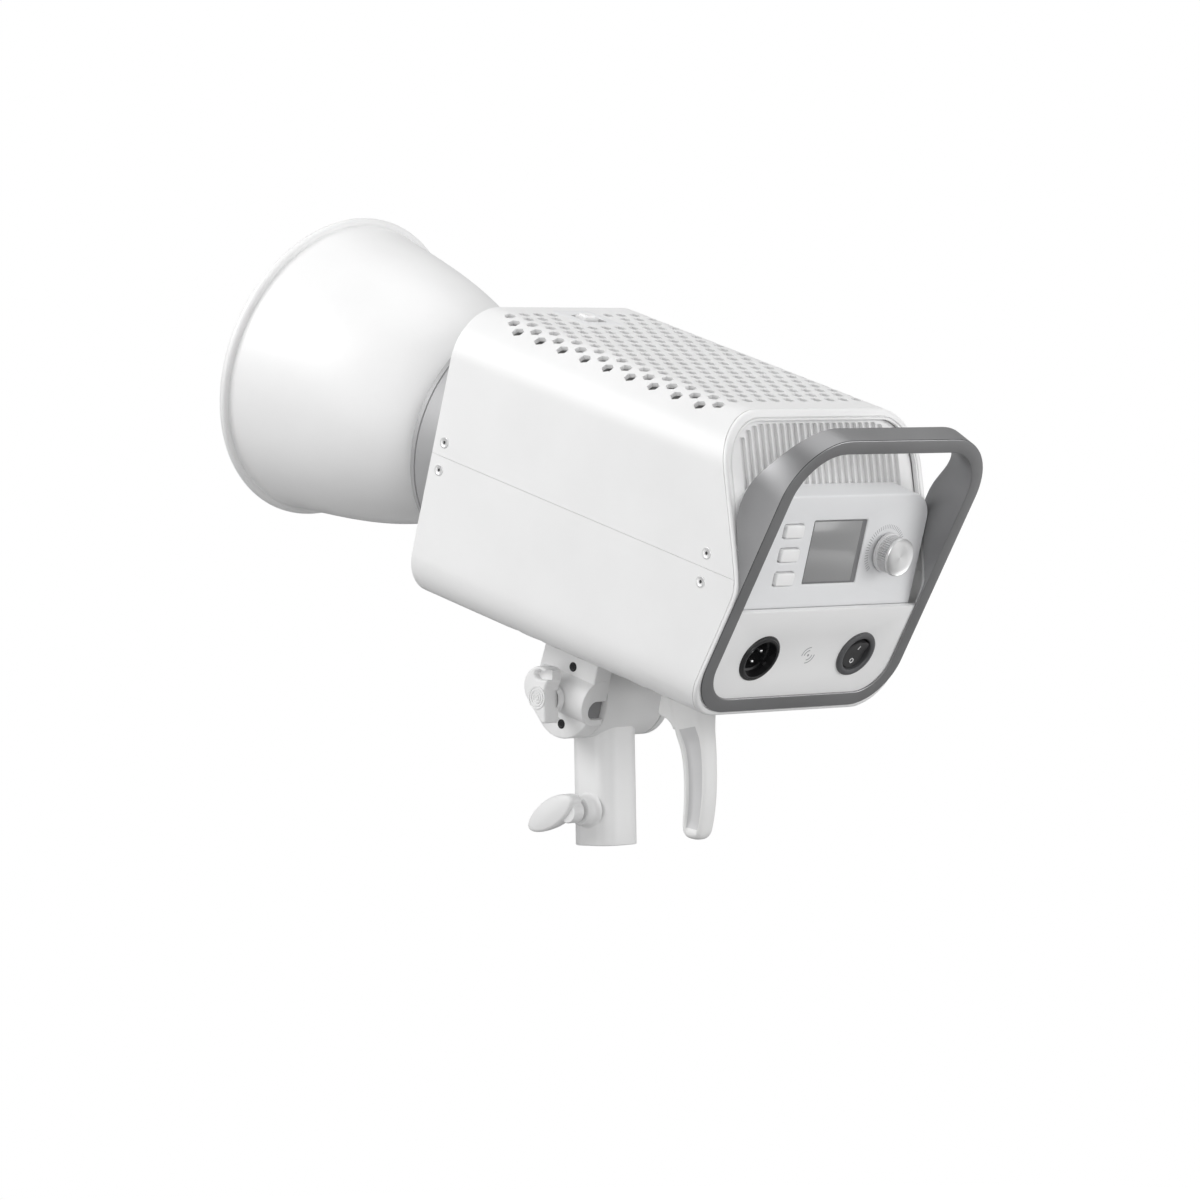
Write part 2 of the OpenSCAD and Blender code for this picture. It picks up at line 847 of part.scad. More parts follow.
module tilt_washers() {
    color("dimgray") translate([0, 0, pivot_h]) for (x = [drum_left - 1.4, drum_right + 0.1]) difference() {
        tube_x(15.8, x, x + 1.3);
        tube_x(bolt_r + run_gap, x - 1, x + 3);
    }
}

pad_r = 4;

module pressure_pad() {
    color("silver") translate([0, 0, wing_z]) tube_x(pad_r - 0.3, socket_r + 0.5, socket_r + 4);
}

module lock_screw() {
    color("silver") translate([0, 0, wing_z]) tube_x(pad_r, socket_r + 4.4, receiver_r + 13);
}

module lock_wing() {
    color("white") translate([0, 0, wing_z]) difference() {
        union() {
            tube_x(6.5, receiver_r + 6, receiver_r + 14);
            translate([0, -12, -1]) rotate([26, 0, 0]) thumb_oval();
        }
        tube_x(pad_r, receiver_r, receiver_r + 13);
    }
}

// Oval thumb paddle lying in the plane across the screw
module thumb_oval() {
    along_x(receiver_r + 9.5, receiver_r + 16) intersection() {
        translate([0, -19]) circle(27.2);
        translate([0, 19]) circle(27.2);
    }
}

reflector_bowl();
reflector_collar();
upper_housing();
lower_housing();
front_plate();
mount_ring();
bayonet_plate();
ring_screws();
release_slider();
lock_pin();
release_spring();
rear_bezel();
rear_grille();
control_panel();
connector_panel();
screen_glass();
screen_module();
control_board();
upper_button();
middle_button();
lower_button();
dial_encoder();
dial_shaft();
dial_knob();
dial_cap();
inlet_shell();
inlet_insert();
inlet_pins();
switch_bezel();
power_rocker();
loop_handle();
handle_screws();
side_screws();
heat_sink();
led_holder();
led_emitter();
fan_frame();
fan_rotor();
driver_board();
board_posts();
tilt_bracket();
base_screws();
cover_screws();
grip_handle();
tilt_lever();
tilt_bolt();
stand_yoke();
tilt_washers();
lock_wing();
lock_screw();
pressure_pad();
vent_liner();
grille_liner();
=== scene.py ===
import math

import bmesh
import bpy
from mathutils import Matrix, Vector
from mathutils.geometry import delaunay_2d_cdt


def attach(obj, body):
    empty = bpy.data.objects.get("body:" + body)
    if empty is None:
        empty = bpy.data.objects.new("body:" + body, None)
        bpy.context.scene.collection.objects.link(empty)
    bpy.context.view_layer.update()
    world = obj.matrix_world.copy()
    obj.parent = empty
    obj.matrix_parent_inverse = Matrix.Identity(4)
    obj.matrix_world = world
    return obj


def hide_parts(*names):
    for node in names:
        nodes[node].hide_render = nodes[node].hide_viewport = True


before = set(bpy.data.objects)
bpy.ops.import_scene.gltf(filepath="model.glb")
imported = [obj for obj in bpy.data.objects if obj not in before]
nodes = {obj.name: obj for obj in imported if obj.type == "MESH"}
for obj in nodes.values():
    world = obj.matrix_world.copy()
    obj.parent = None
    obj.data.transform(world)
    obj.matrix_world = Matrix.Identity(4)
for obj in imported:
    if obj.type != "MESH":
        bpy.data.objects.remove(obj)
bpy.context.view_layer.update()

rad = math.radians


def sind(a):
    return math.sin(rad(a))


def cosd(a):
    return math.cos(rad(a))


# ------------------------------------------------------------------ Measures
# Millimetres in the frame of the level head, which has the tilt bolt at its origin
REST_TILT = 17.4
PIVOT_H = 84.0
AXIS = 118.0
HALF_W = 79.5
FLOOR_Z = 34.0
TOP_Z = 201.0
TOP_R = 30.0
BOTTOM_R = 24.0
SEAM = 116.5
SEAM_GAP = 0.09
SHELL = 2.6
FRONT = -94.0
SCREW_Y = (-84.5, 124)

# reflector and the ring that holds it
RIM = -262.0
BELL = 128.0
SHEET = 1.6
RING_FRONT = -120.5

# rear end: a leaning plane for handle and sockets, and a slope for the grille
LEAN = 14.65
LEAN_RATE = math.tan(rad(LEAN))
SLOPE_RATE = math.tan(rad(24))
PLANE_Y0 = 155.6 - LEAN_RATE * 118.3
LIP = 1.2
BEZEL = 3.0
TIP_Z = 112.0
PANEL_Y = 145.0
KEY_X = 37.5
KEYS = (("key_top", "button_top", "upper_button", 142.3),
        ("key_middle", "button_mid", "middle_button", 128.8),
        ("key_low", "button_low", "lower_button", 115.3))
DIAL = (-40.5, 129.3)
SOCKET_X = 39
SOCKET_S = 68.9 / cosd(LEAN)

# stand bracket
DRUM_R = 22.9
CHEEK_TOP = 33.95
WING_Z = 0.020


def handle_y(z):
    return PLANE_Y0 + LEAN_RATE * z


TIP_Y = handle_y(TIP_Z) - LIP


def slant_y(z):
    return TIP_Y - SLOPE_RATE * (z - TIP_Z)


def rear_y(z, back=0.0, soft=3.0):
    """Rear outline seen from the side, its tip eased."""
    a, b = handle_y(z) - LIP, slant_y(z)
    d = a - b
    return 0.5 * (a + b) - 0.5 * math.sqrt(d * d + soft * soft) - back


MM = Matrix.Scale(0.001, 4)
ABOVE = Matrix.Translation((0, 0, PIVOT_H / 1000))
HEAD = ABOVE @ Matrix.Rotation(-rad(REST_TILT), 4, "X") @ MM
PLANE = HEAD @ Matrix.Translation((0, PLANE_Y0, 0)) @ Matrix.Rotation(-rad(LEAN), 4, "X")
PIVOT = ABOVE @ MM
CLAMP = Matrix.Translation((0, 0, WING_Z)) @ MM
SWAP_XY = Matrix(((0, 1, 0, 0), (1, 0, 0, 0), (0, 0, 1, 0), (0, 0, 0, 1)))
TURN_XY = Matrix(((0, 1, 0, 0), (-1, 0, 0, 0), (0, 0, 1, 0), (0, 0, 0, 1)))


# ----------------------------------------------------------------- Materials
def put(nt, socket, value):
    """Feeds a socket from an output, or sets its value."""
    if isinstance(value, bpy.types.NodeSocket):
        nt.links.new(value, socket)
    else:
        socket.default_value = value


def node(nt, kind, *inputs, out=0, **values):
    """Adds a node and returns one output; inputs go by place or Name, settings by lower-case name."""
    n = nt.nodes.new("ShaderNode" + kind)
    named = {k: v for k, v in values.items() if k[0].isupper()}
    for k in values.keys() - named.keys():
        setattr(n, k, values[k])
    for k, v in [*enumerate(inputs), *named.items()]:
        put(nt, n.inputs[k], v)
    return n.outputs[out]


def ramp(nt, fac, first, last, start=0.0, end=1.0):
    n = nt.nodes.new("ShaderNodeValToRGB")
    for stop, color, at in zip(n.color_ramp.elements, (first, last), (start, end)):
        stop.position = at
        stop.color = (*color, 1)
    nt.links.new(fac, n.inputs["Fac"])
    return n.outputs["Color"]


def start_material(name):
    """An empty material, its node tree and its object coordinates."""
    m = bpy.data.materials.new(name)
    m.use_nodes = True
    return m, m.node_tree, node(m.node_tree, "TexCoord", out="Object")


def shade(m, **inputs):
    """Sets or links inputs of the material's shader; Base_Color stands for Base Color."""
    shader = m.node_tree.nodes["Principled BSDF"]
    for k, v in inputs.items():
        put(m.node_tree, shader.inputs[k.replace("_", " ")], v)
    return m


def surface(name, color, rough, metal=0.0, grain=900.0, bump=0.06, depth=0.00003, tone=0.03,
            coat=0.0, coat_rough=0.2, aniso=0.0, stretch=(1, 1, 1)):
    """Painted, moulded or metal surface: tone and gloss drift slowly, a fine grain bumps it."""
    m, nt, place = start_material(name)
    place = node(nt, "Mapping", Vector=place, Scale=stretch)
    slow = node(nt, "TexNoise", Vector=place, Scale=26.0, Detail=3.0, Roughness=0.55)
    fine = node(nt, "TexNoise", Vector=place, Scale=grain, Detail=2.0, Roughness=0.6)
    rgb = (color,) * 3 if isinstance(color, float) else color
    low, high = [[min(1.0, c * k) for c in rgb] for k in (1 - tone, 1 + tone)]
    gloss = node(nt, "MapRange", slow, 0.0, 1.0, max(0.02, rough - 0.06), min(1.0, rough + 0.06))
    return shade(m, Base_Color=ramp(nt, slow, low, high, 0.3, 0.7), Roughness=gloss,
                 Normal=node(nt, "Bump", Strength=bump, Distance=depth, Height=fine),
                 Metallic=metal, Coat_Weight=coat, Coat_Roughness=coat_rough, Anisotropic=aniso)


# paints and plastics, from light to dark
key_white = surface("key_silicone", 0.88, 0.48, grain=2400, bump=0.2, depth=0.00002, tone=0.008)
white_bright = surface("white_bezel_plastic", 0.86, 0.38, grain=2000, bump=0.15, depth=0.00002,
                       tone=0.01, coat=0.1, coat_rough=0.3)
white = surface("satin_white_paint", 0.83, 0.42, grain=1500, bump=0.25, tone=0.012, coat=0.12,
                coat_rough=0.35)
bowl_white = surface("spun_white_paint", 0.82, 0.40, grain=1400, bump=0.2, tone=0.012, coat=0.1,
                     coat_rough=0.35)
holder_white = surface("holder_ceramic", (0.82, 0.81, 0.78), 0.5, grain=1400, bump=0.3, tone=0.02)
white_cast = surface("white_cast_paint", 0.80, 0.46, grain=1100, bump=0.35, depth=0.00004,
                     tone=0.015, coat=0.08, coat_rough=0.4)
grip_white = surface("grip_plastic", (0.80, 0.80, 0.795), 0.5, grain=1300, bump=0.4,
                     depth=0.00005, tone=0.015)
print_white = surface("printed_ink_white", 0.80, 0.6, tone=0.04)
panel_grey = surface("control_panel_plastic", (0.78, 0.785, 0.795), 0.5, grain=2200, bump=0.3,
                     tone=0.012)
# grey floor of the grille's slots: painted shade of the space behind them
grille_shade_floor = surface("grille_floor_painted_shade", 0.76, 0.6, bump=0.2, tone=0.04)
skirt_white = surface("dial_skirt_plastic", (0.74, 0.74, 0.745), 0.45, grain=2000, bump=0.2,
                      depth=0.00002, tone=0.02)
# darker grey for the faces deep in the grip's hollows: painted shade in the groove
grip_groove_shade = surface("grip_groove_painted_shade", (0.60, 0.60, 0.605), 0.55, grain=1500, bump=0.4)
print_grey = surface("printed_ink_grey", (0.38, 0.38, 0.39), 0.6, tone=0.05)
# dark grey seen through the roof vents: painted shade of the space behind them
vent_shade_floor = surface("vent_floor_painted_shade", 0.36, 0.65, grain=700, bump=0.2, tone=0.05)
# dark grey sheets behind the vents and inside the umbrella hole: painted shade of the space behind them
liner_shade_grey = surface("liner_painted_shade", (0.24, 0.24, 0.245), 0.7, grain=700, bump=0.2, tone=0.06)
screen_band = surface("screen_border_grey", (0.17, 0.17, 0.175), 0.3, grain=2000, bump=0.1,
                      tone=0.05, coat=0.3, coat_rough=0.1)
dark_plastic = surface("dark_grey_plastic", (0.085, 0.086, 0.09), 0.42, grain=1800, bump=0.25,
                       depth=0.00002, tone=0.08)
rocker_black = surface("rocker_plastic", (0.035, 0.035, 0.036), 0.32, grain=1800, bump=0.15,
                       depth=0.00002, tone=0.1, coat=0.15, coat_rough=0.25)
dark_gap = surface("shadow_gap_plastic", (0.035, 0.035, 0.037), 0.6, tone=0.1)
rubber_black = surface("rubber_washer", 0.03, 0.8, grain=1500, bump=0.3, tone=0.1)
black_gloss = surface("black_moulded_plastic", (0.012, 0.012, 0.013), 0.28, grain=1800, bump=0.15,
                      depth=0.00002, tone=0.12, coat=0.2)
# metals
handle_grey = surface("handle_satin_grey", (0.285, 0.285, 0.29), 0.40, metal=0.75, grain=1700,
                      bump=0.2, tone=0.05, coat=0.15, coat_rough=0.3)
# near-black for the handle's rear edge: painted dark reflection of its chamfer
handle_edge_reflection = surface("handle_edge_painted_reflection", (0.05, 0.05, 0.052), 0.5, metal=0.3, grain=1500, tone=0.08)
ring_grey = surface("anodised_ring", (0.40, 0.40, 0.405), 0.52, metal=0.25, bump=0.15, tone=0.04,
                    aniso=0.5)
screw_satin = surface("satin_screw_head", 0.72, 0.36, metal=0.45, grain=1400, bump=0.2,
                      depth=0.00002, tone=0.05)
bright_metal = surface("machined_aluminium", (0.74, 0.74, 0.75), 0.26, metal=1.0, grain=500,
                       bump=0.12, tone=0.05, aniso=0.4)
sink_metal = surface("extruded_aluminium", (0.62, 0.63, 0.64), 0.34, metal=1.0, grain=300, bump=0.2,
                     depth=0.00004, tone=0.06, stretch=(6, 1, 6))
screw_steel = surface("zinc_screw", (0.60, 0.60, 0.61), 0.24, metal=1.0, grain=1200, bump=0.2,
                      tone=0.08)
black_steel = surface("black_oxide_steel", (0.03, 0.03, 0.032), 0.38, metal=0.6, grain=1200,
                      bump=0.2, tone=0.1)
brass_post = surface("turned_brass", (0.72, 0.56, 0.26), 0.28, metal=1.0, grain=700, bump=0.2,
                     tone=0.06)


def hammered_silver():
    """Fine hammered silver inside the reflector."""
    m, nt, place = start_material("hammered_silver")
    cells = node(nt, "TexVoronoi", Vector=place, Scale=420.0, Smoothness=0.6, feature="SMOOTH_F1")
    slow = node(nt, "TexNoise", Vector=place, Scale=35.0, Detail=2.0)
    return shade(m, Base_Color=ramp(nt, slow, (0.66, 0.66, 0.67), (0.80, 0.80, 0.81)),
                 Roughness=node(nt, "MapRange", slow, 0.0, 1.0, 0.2, 0.34),
                 Normal=node(nt, "Bump", Strength=0.5, Distance=0.0004, Height=cells), Metallic=1.0)


def unlit_screen():
    """Mid grey screen, lightened towards one side by a painted reflection, with a fine cell grid."""
    m, nt, place = start_material("unlit_screen")
    # the grey rises along x across the face: a painted reflection
    side = node(nt, "MapRange", node(nt, "SeparateXYZ", place), 0.022, -0.022)
    tone = ramp(nt, side, (0.30, 0.301, 0.303), (0.34, 0.341, 0.343))
    grid = node(nt, "TexNoise", Vector=place, Scale=2600.0, Detail=1.0)
    return shade(m, Base_Color=node(nt, "MixRGB", 0.12, tone, grid, blend_type="MULTIPLY"),
                 Roughness=0.18, Coat_Weight=0.35, Coat_Roughness=0.06)


def spun_cap(centre):
    """Spun metal: hair-fine rings around the knob's axis, and a two-lobed highlight painted into its colour.
    """
    m, nt, place = start_material("spun_cap")
    turn = HEAD.to_3x3()
    axis = (turn @ Vector((0, 1, 0))).normalized()
    painted_highlight_dir = (turn @ Vector((0.75, 0, 0.66))).normalized()
    shift = node(nt, "VectorMath", place, centre, operation="SUBTRACT")
    depth = node(nt, "VectorMath", shift, axis, operation="DOT_PRODUCT", out="Value")
    along = node(nt, "VectorMath", axis, Scale=depth, operation="SCALE")
    flat = node(nt, "VectorMath", shift, along, operation="SUBTRACT")
    radius = node(nt, "VectorMath", flat, operation="LENGTH", out="Value")
    rings = node(nt, "TexNoise", Vector=node(nt, "CombineXYZ", radius), Scale=5200.0, Detail=1.0)
    unit = node(nt, "VectorMath", flat, operation="NORMALIZE")
    # the colour lightens where the surface turns towards one fixed direction: a painted highlight
    across = node(nt, "VectorMath", unit, painted_highlight_dir, operation="DOT_PRODUCT", out="Value")
    painted_highlight = node(nt, "Math", across, across, operation="MULTIPLY")
    return shade(m, Base_Color=ramp(nt, painted_highlight, (0.78, 0.78, 0.78), (0.95, 0.95, 0.95)),
                 Normal=node(nt, "Bump", Strength=0.35, Distance=0.00006, Height=rings),
                 Metallic=0.9, Roughness=0.3)


def phosphor_gel():
    m, nt, place = start_material("phosphor_gel")
    noise = node(nt, "TexNoise", Vector=place, Scale=1200.0, Detail=3.0)
    return shade(m, Base_Color=ramp(nt, noise, (0.72, 0.52, 0.06), (0.86, 0.68, 0.12)),
                 Roughness=0.35, Coat_Weight=0.5)


def circuit_board():
    m, nt, place = start_material("circuit_board")
    cells = node(nt, "TexVoronoi", Vector=place, Scale=160.0, feature="DISTANCE_TO_EDGE")
    tracks = ramp(nt, cells, (0.10, 0.30, 0.14), (0.02, 0.12, 0.05), end=0.12)
    return shade(m, Base_Color=tracks, Roughness=0.4)


board_green = circuit_board()
CAD_FINISH = (
    (screw_steel, "ring_screws lock_pin release_spring dial_shaft handle_screws base_screws "
                  "tilt_bolt lock_screw"),
    (bright_metal, "bayonet_plate dial_encoder pressure_pad reflector_collar"),
    (dark_plastic, "screen_module fan_rotor"), (board_green, "control_board driver_board"),
    (liner_shade_grey, "vent_liner grille_liner"), (sink_metal, "heat_sink"), (black_gloss, "fan_frame"),
    (holder_white, "led_holder"), (phosphor_gel(), "led_emitter"), (brass_post, "board_posts"),
    (rubber_black, "tilt_washers"), (white_bright, "release_slider"))
finish = {name: m for m, names in CAD_FINISH for name in names.split()}
for name, o in nodes.items():
    o.data.materials.clear()
    o.data.materials.append(finish.get(name, white))


# -------------------------------------------------------------- Mesh helpers
def finish_mesh(name, bm, matrix, mats, body, replaces=(), sharp=34.0, weld=0.0):
    """Moves a bmesh in mm into the row frame and makes it a piece that rides on a body."""
    if weld:
        bmesh.ops.remove_doubles(bm, verts=bm.verts, dist=weld)
    bm.transform(matrix)
    bmesh.ops.recalc_face_normals(bm, faces=bm.faces)
    me = bpy.data.meshes.new(name)
    bm.to_mesh(me)
    bm.free()
    me.shade_smooth()
    me.set_sharp_from_angle(angle=rad(sharp))
    for m in mats if isinstance(mats, list) else [mats]:
        me.materials.append(m)
    o = bpy.data.objects.new(name, me)
    bpy.context.scene.collection.objects.link(o)
    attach(o, body)
    if replaces:
        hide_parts(*replaces)
    return o


def arc(cx, cz, r, a0, a1, n):
    return [(cx + r * cosd(a0 + (a1 - a0) * i / n), cz + r * sind(a0 + (a1 - a0) * i / n))
            for i in range(n + 1)]


def shoulders(w, top, r, n, trim=0.0):
    """The two rounded upper corners, from the +x side over to the -x side."""
    return (arc(w - r, top - r, r - trim, 0, 90, n)
            + arc(-w + r, top - r, r - trim, 90, 180, n))


def round_rect(x0, z0, x1, z1, r, n=8):
    """Counter-clockwise rounded rectangle; r is one radius or four from the lower left on."""
    rs = r if isinstance(r, list) else [r] * 4
    pts = []
    for (cx, cz, a, q) in ((x0 + rs[0], z0 + rs[0], 180, rs[0]), (x1 - rs[1], z0 + rs[1], 270, rs[1]),
                           (x1 - rs[2], z1 - rs[2], 0, rs[2]), (x0 + rs[3], z1 - rs[3], 90, rs[3])):
        pts += arc(cx, cz, q, a, a + 90, n) if q > 0 else [(cx, cz)]
    return pts


def circle(cx, cz, r, n=48):
    return [(cx + r * cosd(360 * i / n), cz + r * sind(360 * i / n)) for i in range(n)]


def grown(loop, d):
    """Loop moved outward by d, by the average of its two edge normals at each corner."""
    n = len(loop)
    area = sum(loop[i - 1][0] * loop[i][1] - loop[i][0] * loop[i - 1][1] for i in range(n))
    s = 1 if area > 0 else -1
    out = []
    for i in range(n):
        p0, p1, p2 = loop[i - 1], loop[i], loop[(i + 1) % n]
        e0, e1 = [Vector((b[0] - a[0], b[1] - a[1])) for a, b in ((p0, p1), (p1, p2))]
        if e0.length < 1e-9 or e1.length < 1e-9:
            e0 = e1 = max(e0, e1, key=lambda e: e.length)
        n0, n1 = [Vector((e.y, -e.x)).normalized() * s for e in (e0, e1)]
        m = n0 + n1
        m = m / max(0.35, m.length_squared / 2) if m.length > 1e-6 else n0
        out.append((p1[0] + m.x * d, p1[1] + m.y * d))
    return out


def inside(p, loop):
    hit = False
    for (xj, zj), (xi, zi) in zip([loop[-1], *loop], loop):
        if (zi > p[1]) != (zj > p[1]) and p[0] < (xj - xi) * (p[1] - zi) / (zj - zi) + xi:
            hit = not hit
    return hit


def triangles(loops, loose=(), snap=1e-5):
    """Triangles between an outer loop and its holes. Returns points and index triples."""
    pts, edges, boxes = [], [], []
    for loop in loops:
        k, n = len(pts), len(loop)
        pts += [Vector(p) for p in loop]
        edges += [(k + i, k + (i + 1) % n) for i in range(n)]
        xs, zs = zip(*loop)
        boxes.append((min(xs), max(xs), min(zs), max(zs), loop))
    pts += [Vector(p) for p in loose]
    v, _, faces, *_ = delaunay_2d_cdt(pts, edges, [], 0, snap)
    kept = []
    for t in faces:
        x, z = sum(v[i].x for i in t) / 3, sum(v[i].y for i in t) / 3
        hits = [x0 <= x <= x1 and z0 <= z <= z1 and inside((x, z), loop)
                for (x0, x1, z0, z1, loop) in boxes]
        if hits[0] and not any(hits[1:]):
            kept.append(t)
    return v, kept


def add_face(bm, verts):
    try:
        bm.faces.new(verts)
    except ValueError:
        pass


def ring_faces(bm, a, b):
    """Quads between two rings of vertices, or a fan where one of them is a single point."""
    n = max(len(a), len(b))
    for i in range(n if len(a) + len(b) > 2 else 0):
        j = (i + 1) % n
        add_face(bm, ([a[i], a[j]] if len(a) > 1 else [a[0]])
                 + ([b[j], b[i]] if len(b) > 1 else [b[0]]))


def plate(bm, loops, y0, y1, b0=0.0, b1=0.0, steps=3, place=lambda x, y, z: (x, y, z)):
    """Flat part from y0 to y1 with rounded front (b0) and rear (b1) edges; holes follow the outline."""
    q0, q1 = [[90 * i / steps for i in range(steps + 1)] if b else [0] for b in (b0, b1)]
    profile = [(b0 * (1 - sind(a)), y0 + b0 * (1 - cosd(a))) for a in q0]
    profile += [(b1 * (1 - cosd(a)), y1 - b1 * (1 - sind(a))) for a in q1]
    ends = []
    for k, loop in enumerate(loops):
        rings = []
        for (ins, y) in profile:
            moved = grown(loop, -ins if k == 0 else ins) if ins else loop
            rings.append(([bm.verts.new(place(x, y, z)) for (x, z) in moved], moved))
        for (r0, _), (r1, _) in zip(rings, rings[1:]):
            ring_faces(bm, r0, r1)
        ends.append((rings[0], rings[-1]))
    for side, y in ((0, profile[0][1]), (1, profile[-1][1])):
        known = {}
        for e in ends:
            for vert, p in zip(*e[side]):
                known[(round(p[0], 4), round(p[1], 4))] = vert
        v, faces = triangles([e[side][1] for e in ends])
        local = [known.get((round(p.x, 4), round(p.y, 4))) or bm.verts.new(place(p.x, y, p.y))
                 for p in v]
        for t in faces:
            add_face(bm, [local[i] for i in t])


def revolve(bm, profile, n=96, centre=(0, 0), closed=False):
    """Turns (radius, y) points about the Y axis through centre (x, z)."""
    rings = []
    for (r, y) in profile:
        spots = [centre] if r < 1e-6 else circle(*centre, r, n)
        rings.append([bm.verts.new((x, y, z)) for (x, z) in spots])
    for a, b in zip(rings, rings[1:] + (rings[:1] if closed else [])):
        ring_faces(bm, a, b)


def loft(bm, rings, caps=True):
    """Skins rings of equal length. Each ring is a list of points."""
    made = [[bm.verts.new(p) for p in ring] for ring in rings]
    for a, b in zip(made, made[1:]):
        ring_faces(bm, a, b)
    if caps:
        bm.faces.new(made[0])
        bm.faces.new(list(reversed(made[-1])))
    return made


def soft_profile(points, r, n=3):
    """Rounds the corners of an open (radius, y) profile."""
    out = [points[0]]
    for p0, p1, p2 in zip(points, points[1:], points[2:]):
        a, b, c = Vector(p0), Vector(p1), Vector(p2)
        d = min(r, (a - b).length * 0.45, (c - b).length * 0.45)
        s, e = b + (a - b).normalized() * d, b + (c - b).normalized() * d
        for i in range(n + 1):
            t = i / n
            q = s * (1 - t) ** 2 + b * 2 * t * (1 - t) + e * t * t
            out.append((q.x, q.y))
    return out + [points[-1]]


def turned_on_x(bm, profile, spots, n=32):
    """Adds turned pieces with their axes along X; each spot is (y, z, side)."""
    for (y, z, side) in spots:
        tmp = bmesh.new()
        revolve(tmp, profile, n=n)
        tmp.transform(Matrix(((0, side, 0, 0), (-1, 0, 0, y), (0, 0, 1, z), (0, 0, 0, 1))))
        me = bpy.data.meshes.new("turned")
        tmp.to_mesh(me)
        tmp.free()
        bm.from_mesh(me)
        bpy.data.meshes.remove(me)


# ------------------------------------------------------------------ Reflector
def bell_r(d):
    """Radius of the bell at a distance behind its rim."""
    return 86.9 - 0.165 * d + 0.00101 * d * d - 0.0000145 * d ** 3


def reflector():
    steps, y1 = 40, RIM + BELL
    outer = [(bell_r(3 + (BELL - 3) * i / steps), RIM + 3 + (BELL - 3) * i / steps)
             for i in range(steps + 1)]
    r1 = outer[-1][0]
    bead = [(87.1 + 2.9 * cosd(a), RIM + 2.9 + 2.9 * sind(a)) for a in range(-150, 106, 15)]
    shoulder = [(r1, y1 - 1.0), (r1 - 1.2, y1 + 0.001), (49.0, y1), (48.3, y1 + 0.3)]
    bm = bmesh.new()
    revolve(bm, bead + outer[1:-1] + shoulder, n=160, centre=(0, AXIS))
    finish_mesh("reflector_outside", bm, HEAD, bowl_white, "reflector", ["reflector_bowl"],
                sharp=40)
    bm = bmesh.new()
    inner = [(84.6, RIM + 1.5)] + [(r - SHEET, y) for (r, y) in outer]
    revolve(bm, inner + [(47.5, y1 - SHEET), (45.0, y1 - SHEET)], n=160, centre=(0, AXIS))
    finish_mesh("reflector_inside", bm, HEAD, hammered_silver(), "reflector", (),
                sharp=40)
    # neck behind the bell, with three bayonet lugs
    bm = bmesh.new()
    neck = [(45.0, y1 - 1.6), (45.0, -109.0), (48.0, -109.0), (48.0, y1 + 0.2), (45.2, y1 + 0.2)]
    revolve(bm, soft_profile(neck, 0.3, 2), n=128, centre=(0, AXIS))
    for a in (30, 150, 270):
        lug = arc(0, AXIS, 47.5, a - 14, a + 14, 10) + arc(0, AXIS, 52.0, a + 14, a - 14, 10)
        plate(bm, [lug], -111.2, -109.0, 0.3, 0.3, 2)
    finish_mesh("reflector_neck", bm, HEAD, bright_metal, "reflector", ["reflector_collar"],
                sharp=35)


def mount_ring():
    """Turned ring with a fine step behind its front edge."""
    face = [(53.0, 0.6), (53.6, 0.0), (67.4, 0.0), (68.6, 0.4), (69.4, 1.2), (69.7, 2.6), (69.7, 4.4),
            (69.0, 4.7), (69.0, 5.5), (69.9, 5.9), (70.0, 6.6)]
    seat = [(70.0, FRONT), (40.0, FRONT), (40.0, FRONT - 3)]
    bm = bmesh.new()
    revolve(bm, [(53.0, FRONT - 3)] + [(r, RING_FRONT + y) for (r, y) in face] + seat, n=160,
            centre=(0, AXIS), closed=True)
    finish_mesh("mount_ring_shell", bm, HEAD, ring_grey, "head", ["mount_ring"], sharp=30)


# ---------------------------------------------------------------- Body shells
class Track:
    """A half outline of the body from seam to seam, by arc length; s is 0 at its middle."""

    def __init__(self, part):
        if part == "upper":
            z = SEAM + SEAM_GAP
            pts = [(HALF_W, z)] + shoulders(HALF_W, TOP_Z, TOP_R, 24) + [(-HALF_W, z)]
        else:
            z, x, lo = SEAM - SEAM_GAP, HALF_W - BOTTOM_R, FLOOR_Z + BOTTOM_R
            pts = ([(-HALF_W, z)] + arc(-x, lo, BOTTOM_R, 180, 270, 24)
                   + arc(x, lo, BOTTOM_R, 270, 360, 24) + [(HALF_W, z)])
        self.pts = [Vector(p) for p in pts]
        steps = [b - a for a, b in zip(self.pts, self.pts[1:])]
        self.s = [0.0]
        for d in steps:
            self.s.append(self.s[-1] + d.length)
        self.half = self.s[-1] / 2
        way = [d.normalized() for d in steps]
        turns = [way[0]] + [(a + b).normalized() for a, b in zip(way, way[1:])] + [way[-1]]
        self.normals = [Vector((t.y, -t.x)) for t in turns]

    def at(self, s, inset=0.0):
        t = min(max(s + self.half, 0.0), self.s[-1])
        k = 0
        while k < len(self.s) - 2 and self.s[k + 1] < t:
            k += 1
        f = (t - self.s[k]) / max(1e-9, self.s[k + 1] - self.s[k])
        normal = self.normals[k].lerp(self.normals[k + 1], f).normalized()
        return self.pts[k].lerp(self.pts[k + 1], f) - normal * inset


def hole(loop, c, r):
    """An opening in a shell, with the centre and radius of the clear space around it."""
    return {"loop": loop, "c": c, "r": r}


